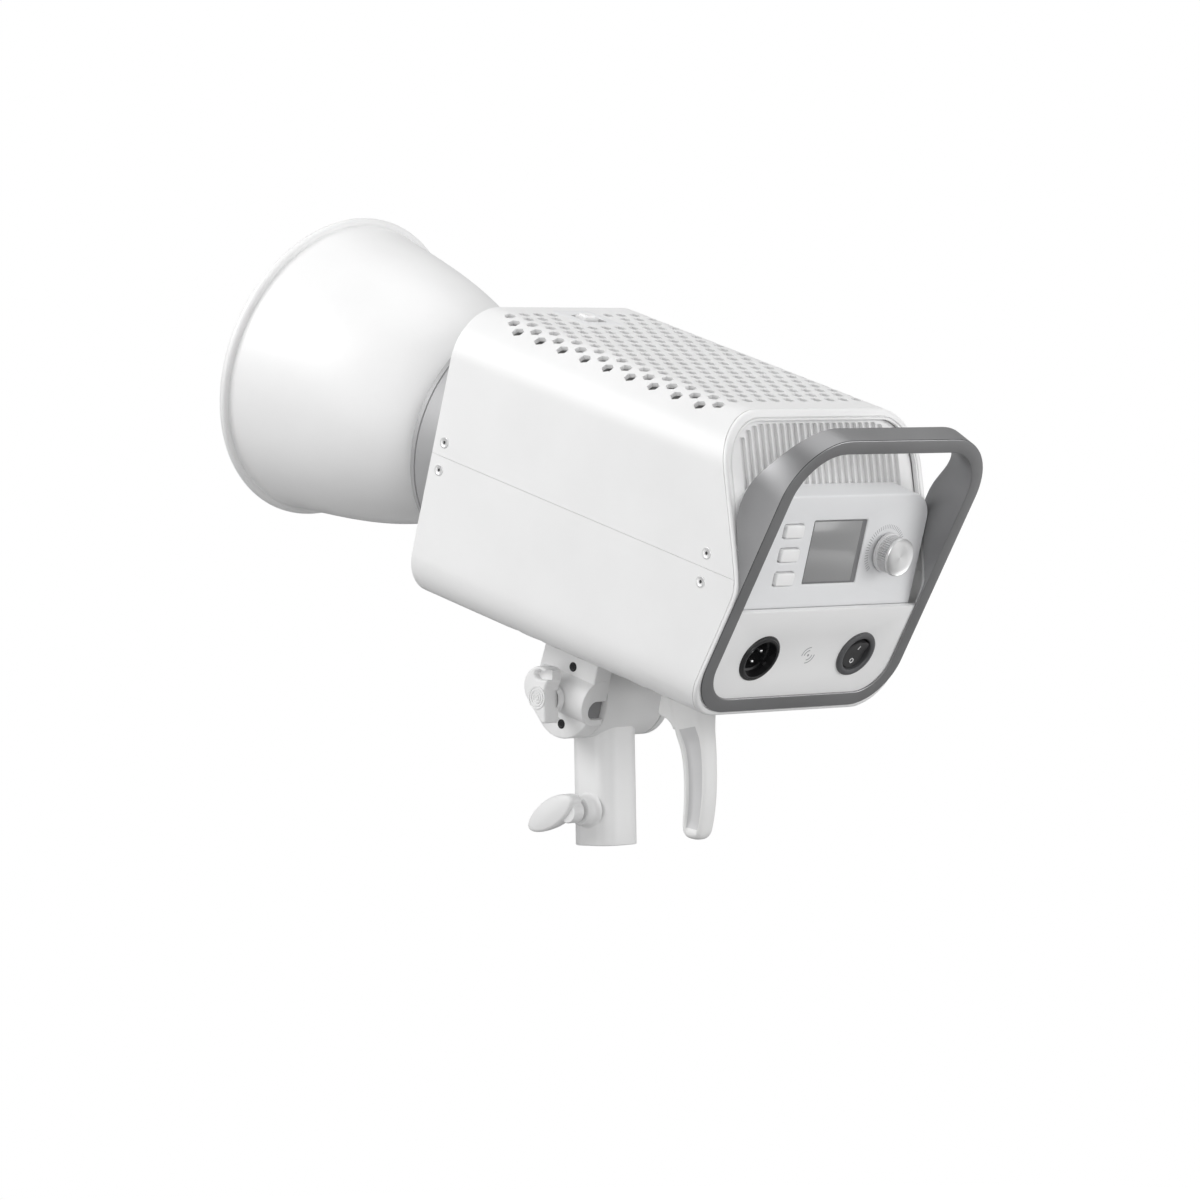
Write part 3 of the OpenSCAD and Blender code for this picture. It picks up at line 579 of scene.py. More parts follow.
def skin(part, holes, lip=1.6):
    """One body shell: the outer skin with its holes, an inner skin, and the walls between."""
    track = Track(part)
    y_front = FRONT + lip

    def rear(s):
        return rear_y(track.at(s).y, BEZEL)

    # the flattened outline, its ends cut finely, and a loose grid that keeps clear of the holes
    s_list = sorted({round(s - track.half, 4) for s in track.s})
    fine = []
    for a, b in zip(s_list, s_list[1:]):
        k = max(1, int(math.ceil((b - a) / 6.0)))
        fine += [a + (b - a) * i / k for i in range(k)]
    fine.append(s_list[-1])
    steps, rows = 30, 24

    def edge(s, order):
        return [(s, y_front + (rear(s) - y_front) * i / steps) for i in order]

    outer = [(s, y_front) for s in fine] + edge(fine[-1], range(1, steps))
    outer += [(s, rear(s)) for s in reversed(fine)] + edge(fine[0], range(steps - 1, 0, -1))
    grid = [(s, y_front + (110 - y_front) * i / rows) for s in fine[1:-1] for i in range(1, rows)]
    loose = [(s, y) for (s, y) in grid if y < rear(s) - 4 and not any(
        abs(s - h["c"][0]) < h["r"] and abs(y - h["c"][1]) < h["r"] for h in holes)]
    v, kept = triangles([outer] + [h["loop"] for h in holes], loose, 1e-4)

    bm = bmesh.new()
    outs, ins = [], []
    for p in v:
        for verts, inset in ((outs, 0.0), (ins, SHELL)):
            q = track.at(p.x, inset)
            verts.append(bm.verts.new((q.x, p.y, q.y)))
    uses = {}
    for t in kept:
        bm.faces.new([outs[i] for i in t])
        bm.faces.new([ins[i] for i in reversed(t)])
        for a, b in ((t[0], t[1]), (t[1], t[2]), (t[2], t[0])):
            uses[frozenset((a, b))] = uses.get(frozenset((a, b)), 0) + 1
    front = []
    for e in [e for e, c in uses.items() if c == 1]:
        a, b = tuple(e)
        if abs(v[a].y - y_front) < 1e-6 and abs(v[b].y - y_front) < 1e-6:
            front.append((a, b))
        else:
            bm.faces.new((outs[a], outs[b], ins[b], ins[a]))

    lips = {}

    def lip_row(i, n=5):
        """Vertices round the front edge, from the outer skin to the inner one."""
        if i not in lips:
            lips[i] = [outs[i]]
            for a in [90 * k / n for k in range(1, n + 1)]:
                q = track.at(v[i].x, lip * (1 - cosd(a)))
                lips[i].append(bm.verts.new((q.x, y_front - lip * sind(a), q.y)))
            lips[i].append(ins[i])
        return lips[i]

    for a, b in front:
        ra, rb = lip_row(a), lip_row(b)
        for k in range(len(ra) - 1):
            bm.faces.new((ra[k], rb[k], rb[k + 1], ra[k + 1]))
    bmesh.ops.delete(bm, geom=[x for x in bm.verts if not x.link_faces], context="VERTS")
    return bm


SLIDER_SLOT = round_rect(-8, -77, 8, -62, 1.2, 3)


def vent_holes(rows=12, pitch=5.57, col=17.95):
    """Hexagonal vents in staggered rows over the roof, clear of the slider's recess."""
    holes = []
    track = Track("upper")
    for row in range(-rows, rows + 1):
        for k in range(1 if abs(row) == rows else 0, 12):
            s = row * pitch
            y = -76.6 + k * col + (0 if row % 2 == 0 else col / 2)
            if (abs(s) < 21 and y < -51) or y > rear_y(track.at(s).y, BEZEL) - 10.5:
                continue
            holes.append(hole(circle(s, y, 3.7, 6), (s, y), 4.6))
    return holes + [hole(SLIDER_SLOT, (0, -69.5), 11.0)]


def screw_holes(part):
    side = Track(part).half - 8.0 + 0.15
    return [hole(circle(s, y, 1.6, 12), (s, y), 2.4) for s in (-side, side) for y in SCREW_Y]


def housings():
    bm = skin("upper", vent_holes() + screw_holes("upper"))
    finish_mesh("upper_shell", bm, HEAD, white, "head", ["upper_housing"], sharp=38)
    slots = [hole(round_rect(s - 4.5, y, s + 4.5, y + 9, 1.5, 3), (s, y + 4.5), 7.0)
             for s in (-63, 63) for y in range(-20, 107, 18)]
    bolts = [hole(circle(x, y, 2.1, 12), (x, y), 3.0)
             for (x, y) in ((-14, -16), (14, -16), (-14, 50), (14, 50))]
    bm = skin("lower", screw_holes("lower") + slots + bolts)
    finish_mesh("lower_shell", bm, HEAD, white, "head", ["lower_housing"], sharp=38)


def vent_backing():
    """Grey sheet behind the roof vents, seen through the holes: painted shade of the space under the roof.
    """
    track = Track("upper")
    rings = []
    for s in [i * 4.0 for i in range(-19, 20)]:
        q, w = track.at(s, 4.4), track.at(s, 5.4)
        y0, y1 = -50.0 if abs(s) < 22 else -88.0, rear_y(q.y, 12.0)
        rings.append([(q.x, y0, q.y), (q.x, y1, q.y), (w.x, y1, w.y), (w.x, y0, w.y)])
    bm = bmesh.new()
    loft(bm, rings)
    finish_mesh("vent_backing", bm, HEAD, vent_shade_floor, "head", ["vent_liner"], sharp=30)


def recess_tray():
    """Shallow dished floor around the release slider."""
    bm = bmesh.new()
    plate(bm, [round_rect(-15.5, -85.5, 15.5, -56, 3, 5), SLIDER_SLOT], 0, 0.5, 0, 0.35, 3,
          place=lambda x, y, z: (x, z, TOP_Z - 0.45 + y))
    finish_mesh("slider_frame", bm, HEAD, panel_grey, "head", (), sharp=30)


def side_screws():
    spots = [(y, SEAM + dz, side) for side in (-1, 1) for y in SCREW_Y for dz in (-8, 8)]
    w = HALF_W
    bm = bmesh.new()
    turned_on_x(bm, [(0.95, w - 0.2), (1.0, w + 0.04), (1.9, w + 0.08), (2.35, w + 0.3), (2.8, w + 0.38),
                     (3.2, w + 0.28), (3.4, w + 0.05), (3.4, w - 0.3)], spots)
    finish_mesh("side_screw_heads", bm, HEAD, screw_satin, "head", ["side_screws"], sharp=30)
    bm = bmesh.new()
    turned_on_x(bm, [(0, w - 0.2), (1.12, w - 0.2)], spots, 12)
    finish_mesh("side_screw_sockets", bm, HEAD, dark_gap, "head", (), sharp=30)


# ------------------------------------------------------------------- Rear end
def body_outline(inset, n=20, side=26):
    """Whole body outline, counter-clockwise in (x, z)."""
    w, rt, rb = HALF_W - inset, TOP_R - inset, BOTTOM_R - inset
    z0, z1 = FLOOR_Z + BOTTOM_R, TOP_Z - TOP_R
    climb = [(z1 - z0) * i / side for i in range(1, side)]
    return (arc(w - rb, z0, rb, 270, 360, n) + [(w, z0 + d) for d in climb]
            + shoulders(w, TOP_Z - inset, rt, n)
            + [(-w, z1 - d) for d in climb] + arc(-w + rb, z0, rb, 180, 270, n))


def rear_bezel():
    """White frame round the rear end: its outer edge is eased, with a fine groove on the inside."""
    stations = [(2.6, BEZEL), (0.45, BEZEL), (0.4, BEZEL - 0.3), (0.0, BEZEL - 0.55), (0.0, 1.5),
                (0.25, 0.75), (0.8, 0.2), (1.6, 0.0), (3.2, 0.0), (3.6, 0.25), (3.7, 0.9), (4.1, 1.0),
                (4.2, 0.3), (4.6, 0.0), (5.1, 0.1), (5.45, 0.6), (5.5, BEZEL)]
    rings = [[(x, rear_y(z, back), z) for (x, z) in body_outline(inset)] for inset, back in stations]
    bm = bmesh.new()
    loft(bm, rings + [rings[0]], caps=False)
    finish_mesh("rear_frame", bm, HEAD, white_bright, "head", ["rear_bezel"],
                sharp=32, weld=0.0005)


def grille():
    """Sloping grille: raised ribs between blind slots, their darker floor painted shade of the space behind
    the slots.
    """
    count, pitch, half, low, deep = 24, 5.35, 2.0, 150.0, 3.5
    w, top, r = HALF_W - 5.6, TOP_Z - 5.6, TOP_R - 5.6

    def on_slope(x, y, z):
        return (x, slant_y(z) - deep + y, z)

    loops = [[(-w, low), (w, low)] + shoulders(w, top, r, 14)]
    for i in range(count):
        x = (i - (count - 1) / 2) * pitch
        side = max(0.0, abs(x) - 44)
        loops.append(round_rect(x - half, 158.0, x + half, 193.4 - side * side / 46, 0.9, 3))
    bm = bmesh.new()
    plate(bm, loops, -2.2, 0.0, 0, 0.35, 3, place=on_slope)
    finish_mesh("grille_ribs", bm, HEAD, white_bright, "head", ["rear_grille"])
    bm = bmesh.new()
    back = [(-w + 1, low + 1), (w - 1, low + 1)] + shoulders(w, top, r, 10, 1)
    plate(bm, [back], -3.1, -2.25, place=on_slope)
    finish_mesh("grille_backing", bm, HEAD, grille_shade_floor, "head", ["grille_liner"])


def control_panel():
    """Face with its openings, and a hood whose walls run forward to the slope."""
    w, top, lo, r, front = 70.7, 162.0, 98.0, 15, PANEL_Y - 1.1
    window = round_rect(-21.4, 111.9, 21.4, 147.7, 0.6, 3)
    keys = [round_rect(KEY_X - 7.65, z - 4.0, KEY_X + 7.65, z + 4.0, 1.6, 4) for *_, z in KEYS]
    bm = bmesh.new()
    plate(bm, [[(-w, lo + 0.2), (w, lo + 0.2)] + shoulders(w, top, r, 12), window, *keys,
               circle(*DIAL, 4.0, 32)], PANEL_Y - 3, PANEL_Y, 0, 1.1, 4)
    climb = [(top - r - lo) * i / 12 for i in range(1, 12)]
    path = ([(w, lo + 0.2)] + [(w, lo + d) for d in climb] + shoulders(w, top, r, 12)
            + [(-w, top - r - d) for d in climb] + [(-w, lo + 0.2)])
    rings = []
    for (x, z) in path:
        lift = 1 - (x / w) ** 2
        hood = [(x, front, z)]
        for (t, up) in ((0.25, 0.35), (0.5, 0.95), (0.75, 1.7), (1.0, 2.6)):
            y = min(slant_y(z + up * lift) - 4.0, front - 0.7)
            hood.append((x, front + (y - front) * t, z + up * lift))
        xi, zi = x * (1 - 2.0 / w), lo + 0.2 + (z - lo - 0.2) * (1 - 2.0 / 64)
        y1 = min(slant_y(zi) - 3.5, front - 0.7)
        rings.append(hood + [(xi, y1, zi), (xi, front - 0.9, zi)])
    loft(bm, rings)
    finish_mesh("control_housing", bm, HEAD, panel_grey, "head", ["control_panel"])


def connector_panel():
    """Face in the leaning plane, with two round openings."""
    bm = bmesh.new()
    outer = round_rect(-73.6, 40.2 / cosd(LEAN), 73.6, 97.8 / cosd(LEAN), [19, 19, 0, 0], 14)
    holes = [circle(x, SOCKET_S, 13.0) for x in (-SOCKET_X, SOCKET_X)]
    plate(bm, [outer, *holes], -4.3, -1.3, 0, 0.5, 3)
    finish_mesh("connector_face", bm, PLANE, white_bright, "head", ["connector_panel"])


def screen():
    bm = bmesh.new()
    plate(bm, [round_rect(-21.3, 112.0, 21.3, 147.6, 0.5, 3)], 143.2, 144.45, 0, 0.15, 2)
    finish_mesh("screen_face", bm, HEAD, unlit_screen(), "head", ["screen_glass"])
    bm = bmesh.new()
    plate(bm, [round_rect(-21.35, 111.95, 21.35, 147.65, 0.5, 3),
               round_rect(-17.9, 113.0, 20.8, 147.1, 0.4, 3)], 144.4, 144.55, 0, 0.05, 2)
    finish_mesh("screen_border", bm, HEAD, screen_band, "head", ())


def buttons():
    for name, body, cad, z in KEYS:
        bm = bmesh.new()
        plate(bm, [round_rect(KEY_X - 7.25, z - 3.6, KEY_X + 7.25, z + 3.6, 1.4, 6)], 140.0, 146.6,
              0, 0.9, 4)
        revolve(bm, [(0, 134.0), (2.0, 134.0), (2.0, 140.0)], n=20, centre=(KEY_X, z))
        finish_mesh(name, bm, HEAD, key_white, body, [cad])


def dial():
    """Ribbed skirt, turned cap, and a scale of fine ticks on the panel around them."""
    y0, y1, ribs = 146.6, 157.0, 48
    stations = [(0.35, y0, 0), (0, y0 + 0.3, 0), (0, y0 + 1.9, 0), (0.3, y0 + 2.2, 0),
                (0.45, y0 + 2.5, 1.05), (0.45, y1 - 2.0, 1.05), (0.3, y1 - 1.7, 0), (0, y1 - 1.4, 0),
                (0, y1 - 0.7, 0), (0.5, y1 - 0.2, 0)]
    rings = []
    for (drop, y, rib) in stations:
        ring = []
        for i in range(4 * ribs):
            r = 11.0 - drop - rib * (i % 4 in (0, 3))
            ring.append((DIAL[0] + r * cosd(90 * i / ribs), y, DIAL[1] + r * sind(90 * i / ribs)))
        rings.append(ring)
    bm = bmesh.new()
    made = loft(bm, rings, caps=False)
    for ring, y in ((made[0], y0), (made[-1], y1 - 0.2)):
        ring_faces(bm, ring, [bm.verts.new((DIAL[0], y, DIAL[1]))])
    finish_mesh("dial_skirt", bm, HEAD, skirt_white, "dial", ["dial_knob"], sharp=28)
    bm = bmesh.new()
    revolve(bm, [(10.7, y1 - 0.35), (10.6, y1 - 0.1), (10.3, y1 + 0.1), (10.0, y1), (6.0, y1 - 0.07),
                 (0.0, y1 - 0.12)], centre=DIAL)
    finish_mesh("dial_top", bm, HEAD, spun_cap(HEAD @ Vector((DIAL[0], y1, DIAL[1]))), "dial",
                ["dial_cap"], sharp=40)
    bm = bmesh.new()
    ticks, half, r0 = 45, 0.2, 13.0
    for i in range(ticks + 1):
        a = -45 + 270 * i / ticks
        r1 = 15.2 + 0.7 * (i / ticks) ** 2
        plate(bm, [[(DIAL[0] - r * cosd(a) + q * sind(a), DIAL[1] + r * sind(a) + q * cosd(a))
                    for (r, q) in ((r0, -half), (r0, half), (r1, half), (r1, -half))]],
              PANEL_Y - 0.02, PANEL_Y + 0.03)
    finish_mesh("dial_scale", bm, HEAD, print_grey, "head", ())


def power_inlet():
    """Round inlet with three keys in its wall and three pins on a sunken core."""
    centre = (SOCKET_X, SOCKET_S)
    bm = bmesh.new()
    revolve(bm, [(9.3, -17.0), (9.3, -6.0), (10.6, -5.6), (11.0, -1.0), (11.2, 0.0), (11.9, 0.3),
                 (12.6, 0.25), (12.9, -0.25), (13.3, -0.35), (13.9, -0.6), (14.2, -1.0), (14.3, -1.3),
                 (12.8, -1.3), (12.8, -22.0), (0.0, -22.0)], n=72, centre=centre)
    for a in (90, 210, 330):
        key = [(centre[0] + r * cosd(a + da), centre[1] + r * sind(a + da))
               for (r, da) in ((9.1, -7), (10.7, -6), (10.7, 6), (9.1, 7))]
        plate(bm, [key], -14.0, -3.0, 0, 0.3, 2)
    finish_mesh("inlet_body", bm, PLANE, black_gloss, "head", ["inlet_shell"], sharp=30)
    bm = bmesh.new()
    revolve(bm, [(0.0, -13.4), (8.2, -13.4), (8.8, -13.0), (9.25, -13.2), (9.25, -16.9), (0, -16.9)],
            n=48, centre=centre)
    finish_mesh("inlet_core", bm, PLANE, dark_plastic, "head", ["inlet_insert"], sharp=30)
    bm = bmesh.new()
    for a in (30, 150, 270):
        revolve(bm, [(0, -4.4), (0.5, -4.5), (0.95, -4.9), (1.2, -5.6), (1.2, -16.9)], n=20,
                centre=(centre[0] + 4.4 * cosd(a), centre[1] + 4.4 * sind(a)))
    finish_mesh("inlet_contacts", bm, PLANE, bright_metal, "head", ["inlet_pins"], sharp=40)


def power_switch():
    """Round switch: its ring, and a dished rocker tipped with its upper end raised."""
    bm = bmesh.new()
    revolve(bm, [(10.0, -16.0), (10.0, -0.4), (10.4, 0.15), (11.2, 0.45), (12.4, 0.4), (13.3, 0.0),
                 (13.75, -0.7), (13.8, -1.3), (12.8, -1.3), (12.8, -20.0), (0.0, -20.0)], n=72,
            centre=(-SOCKET_X, SOCKET_S))
    finish_mesh("switch_ring", bm, PLANE, dark_plastic, "head", ["switch_bezel"], sharp=30)
    tipped = PLANE @ Matrix.Translation((-SOCKET_X, -3.4, SOCKET_S)) @ Matrix.Rotation(-rad(9), 4, "X")
    half_h = 9.0

    def dish(z):
        return 1.5 * (abs(z) / half_h) ** 1.6

    rings = []
    for k in range(-12, 13):
        z = half_h * k / 12
        half = min(7.9, math.sqrt(max(0.0, 9.25 ** 2 - z * z)))
        face = [(half * j / 8, 1.7 + dish(z) - 0.35 * max(0.0, (abs(j) - 6) / 2) ** 2, z)
                for j in range(-8, 9)]
        rings.append(face + [(half * j / 8, -6.5, z * 0.93) for j in range(8, -9, -1)])
    bm = bmesh.new()
    loft(bm, rings)
    finish_mesh("rocker_cap", bm, tipped, rocker_black, "rocker", ["power_rocker"])
    # on and off marks
    bm = bmesh.new()
    for mark in ([round_rect(-0.3, 3.2, 0.3, 6.0, 0.2, 2)],
                 [circle(0, -4.6, 1.5, 28), circle(0, -4.6, 1.05, 28)]):
        plate(bm, mark, 2.0, 2.32, place=lambda x, y, z: (x, y + dish(z) - 0.28, z))
    finish_mesh("rocker_marks", bm, tipped, print_white, "rocker", ())


def radio_arcs():
    """Plain radio arcs between the two sockets."""
    z = SOCKET_S + 0.4
    bm = bmesh.new()
    for mid in (225, 45):
        for r in (3.0, 5.0):
            plate(bm, [arc(0, z, r + 0.28, mid - 48, mid + 48, 12)
                       + arc(0, z, r - 0.28, mid + 48, mid - 48, 12)], -1.31, -1.24)
    plate(bm, [circle(0, z, 0.8, 16)], -1.31, -1.24)
    finish_mesh("radio_arcs", bm, PLANE, print_grey, "head", ())


# ---------------------------------------------------------------- Loop handle
# Height on the body against the depth of the bar there: flush low down, deep over the arch
BAR_DEPTH = ((30, 1.35), (100, 1.35), (112, 2.0), (121, 7.8), (129.4, 14.0), (137.6, 20.0),
             (144, 23.8), (150, 25.2), (157, 25.3), (162, 24.6), (168, 22.9), (174, 20.6),
             (180, 18.4), (188, 16.0), (197, 14.4), (204, 14.0), (230, 14.0))


def bar_depth(s):
    """Depth of the bar's front edge below the leaning plane, at a height along that plane."""
    z = s * cosd(LEAN)
    for (z0, d0), (z1, d1) in zip(BAR_DEPTH, BAR_DEPTH[1:]):
        if z0 <= z <= z1:
            return d0 + (d1 - d0) * (z - z0) / (z1 - z0)
    return BAR_DEPTH[-1][1]


def handle_outline(inset, n=18, side=40, across=16):
    w, q, t = 79.4 - inset, 29.0 - inset, 37.0 - inset
    lo, hi = 37.5 + inset, 209.5 - inset
    climb = [(hi - lo - q - t) * i / side for i in range(1, side)]
    return (arc(w - q, lo + q, q, 270, 360, n) + [(w, lo + q + d) for d in climb]
            + arc(w - t, hi - t, t, 0, 90, n)
            + [((w - t) * (1 - 2 * i / across), hi) for i in range(1, across)]
            + arc(-w + t, hi - t, t, 90, 180, n) + [(-w, hi - t - d) for d in climb]
            + arc(-w + q, lo + q, q, 180, 270, n)
            + [(-(w - q) * (1 - 2 * i / across), lo) for i in range(1, across)])


def loop_handle():
    """Swept bar: thin and flush below, widening forward into the carrying arch above."""
    e = 0.9
    ease = [(e * 0.12, -e * 0.35), (e * 0.45, -e * 0.08), (e, 0)]
    rings = []
    for (xo, so), (xi, si) in zip(handle_outline(0), handle_outline(8.5)):
        wide = math.hypot(xi - xo, si - so)
        d, di = bar_depth(so), bar_depth(si)
        f = min(0.5, d * 0.3)
        # (distance across the bar, height over the leaning plane)
        section = ([(0, f - d), (0, -e * 0.9)] + ease + [(wide - t, y) for (t, y) in reversed(ease)]
                   + [(wide, -e * 0.9), (wide, f - di), (wide - f, -di), (f, -d)])
        rings.append([(xo + (xi - xo) * t / wide, y, so + (si - so) * t / wide) for (t, y) in section])
    bm = bmesh.new()
    loft(bm, rings + [rings[0]], caps=False)
    # a fine dark line runs along the rear edge of the outer wall: a painted dark reflection of its chamfer
    for i, face in enumerate(bm.faces):
        face.material_index = 1 if i % len(rings[0]) == 1 else 0
    finish_mesh("handle_loop", bm, PLANE, [handle_grey, handle_edge_reflection], "head", ["loop_handle"],
                sharp=30, weld=0.0005)


# -------------------------------------------------------------- Stand bracket
def flat(x, y, z):
    """Lays a plate down, so that its thickness runs up."""
    return (x, z, y)


def stand_yoke():
    """Foot with the stand socket, its boss, and the tilt drum."""
    # the wall is open from z 15.6 to 24.4 where the clamp screw and its pad pass through
    outside = round_rect(-15, -15, 15, 15, 9.8, 14)
    column = [outside, circle(0, 0, 8.1, 56)]
    gap = [(14.4, 4.4)] + arc(0, 0, 8.1, 33, 327, 48) + [(14.4, -4.4)]
    bm = bmesh.new()
    plate(bm, column, 0.0, 15.6, 0.8, place=flat)
    plate(bm, [outside, gap], 15.6, 24.4, place=flat)
    plate(bm, column, 24.4, 76.0, place=flat)
    plate(bm, [circle(0, 0, 8.15, 40)], 45.0, 46.0, place=flat)
    finish_mesh("yoke_foot", bm, MM, white_cast, "yoke", ["stand_yoke"])
    bm = bmesh.new()
    revolve(bm, [(3.05, -24.5), (16.0, -24.5), (16.0, -26.0), (21.6, -26.0), (22.5, -25.7),
                 (DRUM_R, -25.0), (DRUM_R, 19.0), (22.5, 19.7), (21.6, 20.0), (16.0, 20.0),
                 (16.0, 18.5), (3.05, 18.5)], closed=True)
    finish_mesh("yoke_drum", bm, PIVOT @ TURN_XY, white_cast, "yoke", ())
    bm = bmesh.new()
    revolve(bm, [(11.2, 14.6), (9.6, 15.2), (8.8, 16.2), (8.5, 17.6), (8.3, 20.4), (7.6, 21.4),
                 (6.8, 21.6), (4.05, 21.6), (4.05, 14.0)], n=48)
    finish_mesh("yoke_boss", bm, CLAMP @ TURN_XY, white_cast, "yoke", ())


def tilt_bracket():
    """Cheeks and base plate that hold the head, with the barrel ridge over the tilt bolt."""
    base = [(21.0, 33.9), (-21.0, 33.9), (-22.4, 12)]
    left = arc(0, 0, DRUM_R, 180, 360, 32) + [(22.4, 12)] + base
    # the lever side is flat at the rear, and open where the ridge holds the umbrella hole
    right = arc(0, 0, DRUM_R, 180, 314, 26) + [(20.0, -11.5), (21.2, -8), (21.3, -6.5), (4.4, -6.5),
                                              (4.4, 4.6), (21.3, 4.6), (21.3, 15)] + base
    bm = bmesh.new()
    plate(bm, [right, circle(0, -12.5, 0.5, 8)], 20.4, 33.0, 0.5, 1.0)
    plate(bm, [left, circle(0, 0, 3.1, 24)], -31.0, -26.4, 1.0, 0.4)
    bm.transform(SWAP_XY)
    for foot in (round_rect(-31, -24, 33, 24, 3, 5), round_rect(-18, 20, 18, 78, 5, 6)):
        plate(bm, [foot], 28.0, CHEEK_TOP, 0.8, place=flat)
    finish_mesh("bracket_cheeks", bm, HEAD, white_cast, "head", ["tilt_bracket"])
    # barrel ridge over the bolt's end, with the umbrella hole in its flat rear face
    pocket = [(20.5, 4.3)] + arc(27.8, -1.0, 5.3, 90, -90, 18) + [(20.5, -6.3)]
    bm = bmesh.new()
    plate(bm, [arc(26, 3, 13.5, -114, 114, 40) + pocket], -19.0, 21.5, 1.2, 0.6, 4)
    finish_mesh("bracket_ridge", bm, HEAD, white_cast, "head", ())
    # grey floor a little inside the umbrella hole: painted shade of the bore
    bm = bmesh.new()
    plate(bm, [pocket[::-1]], 17.6, 18.4)
    finish_mesh("umbrella_hole_shade", bm, HEAD, liner_shade_grey, "head", ())
    bm = bmesh.new()
    turned_on_x(bm, [(0, 33.03), (1.25, 33.03), (1.35, 33.25), (1.8, 33.45), (2.45, 33.4), (2.7, 33.15),
                     (2.7, 32.6)], [(3, 19.2, 1), (3, -14.4, 1)], 28)
    finish_mesh("bracket_cover_screws", bm, HEAD, black_steel, "head", ["cover_screws"])


def tilt_lever():
    """Round lever head with a thumb scoop and raised rings, tapering to a short tail."""
    cy, cz, r = 1.4, 7.0, 11.5
    tail = [(-4.5, -4.0), (1.0, -10.8), (2.6, -12.7), (3.8, -13.4), (5.0, -13.4), (5.8, -12.9), (6.2, -12.0)]
    flank = [(6.2, -4.0), (6.2, 5.2), (6.6, 6.9), (7.5, 8.2), (8.4, 9.6)]
    scoop = [(8.2, 10.9), (3.7, 11.0), (1.0, 11.4), (-0.8, 12.4), (-1.5, 13.8), (-0.8, 15.3), (0.8, 16.2),
             (3.0, 16.6)]
    bm = bmesh.new()
    plate(bm, [flank + [(8.8, 11.4)] + arc(cy, cz, r, 49.9, 205.7, 44) + tail], 42.4, 50.05, 1.0, 0.0, 4)
    plate(bm, [flank + scoop + arc(cy, cz, r, 55.7, 205.7, 40) + tail], 50.0, 54.0, 0.0, 1.4, 5)
    bm.transform(SWAP_XY)
    finish_mesh("lever_body", bm, PIVOT, white_cast, "clamp_lever", ["tilt_lever"])
    bm = bmesh.new()
    revolve(bm, [(8.0, 40.0), (8.0, 44.6)], n=48)
    revolve(bm, [(3.0, 40.0), (7.6, 40.0), (8.0, 40.4)], n=48)
    finish_mesh("lever_hub", bm, PIVOT @ TURN_XY, white_cast, "clamp_lever", ())
    bm = bmesh.new()
    for r in (1.0, 2.7, 4.4, 6.1):
        revolve(bm, [(r - 0.5, 53.9), (r - 0.42, 54.45), (r + 0.42, 54.5), (r + 0.5, 53.9)], n=40,
                centre=(-0.4, 1.1))
    finish_mesh("lever_rings", bm, PIVOT @ TURN_XY, white_cast, "clamp_lever", (), sharp=50)


def lock_wing():
    """Hub of the clamp screw, and its slanted oval paddle."""
    bm = bmesh.new()
    revolve(bm, [(4.0, 23.6), (6.0, 23.6), (6.5, 24.2), (6.5, 30.6), (6.0, 31.4), (0, 31.6)], n=48)
    finish_mesh("wing_hub", bm, CLAMP @ TURN_XY, white_cast, "stand_lock", ["lock_wing"])
    half_l, half_h, n = 19.4, 8.2, 48
    oval = []
    for i in range(n):
        c, s = cosd(360 * i / n), sind(360 * i / n)
        oval.append((half_l * math.copysign(abs(c) ** 1.12, c), half_h * math.copysign(abs(s) ** 1.05, s)))
    rings = []
    # (inset, whether on the outer face, lift of the edge)
    for (inset, outer, lift) in ((2.4, 0, 0.0), (1.2, 0, 0.25), (0.4, 0, 0.9), (0.0, 0, 1.8),
                                 (0.0, 1, -2.0), (0.5, 1, -0.8), (1.6, 1, 0.0)):
        ring = []
        for (y, z) in grown(oval, -inset):
            u = min(1.0, max(0.0, (y / half_l + 1) / 1.7))
            x = 33.6 if outer else 30.4 - 6.4 * u * u * (3 - 2 * u)
            ring.append((x + lift, y, z))
        rings.append(ring)
    bm = bmesh.new()
    loft(bm, rings)
    place = CLAMP @ Matrix.Translation((0, -12, -1)) @ Matrix.Rotation(rad(26), 4, "X")
    finish_mesh("wing_paddle", bm, place, white_cast, "stand_lock", (), sharp=40)


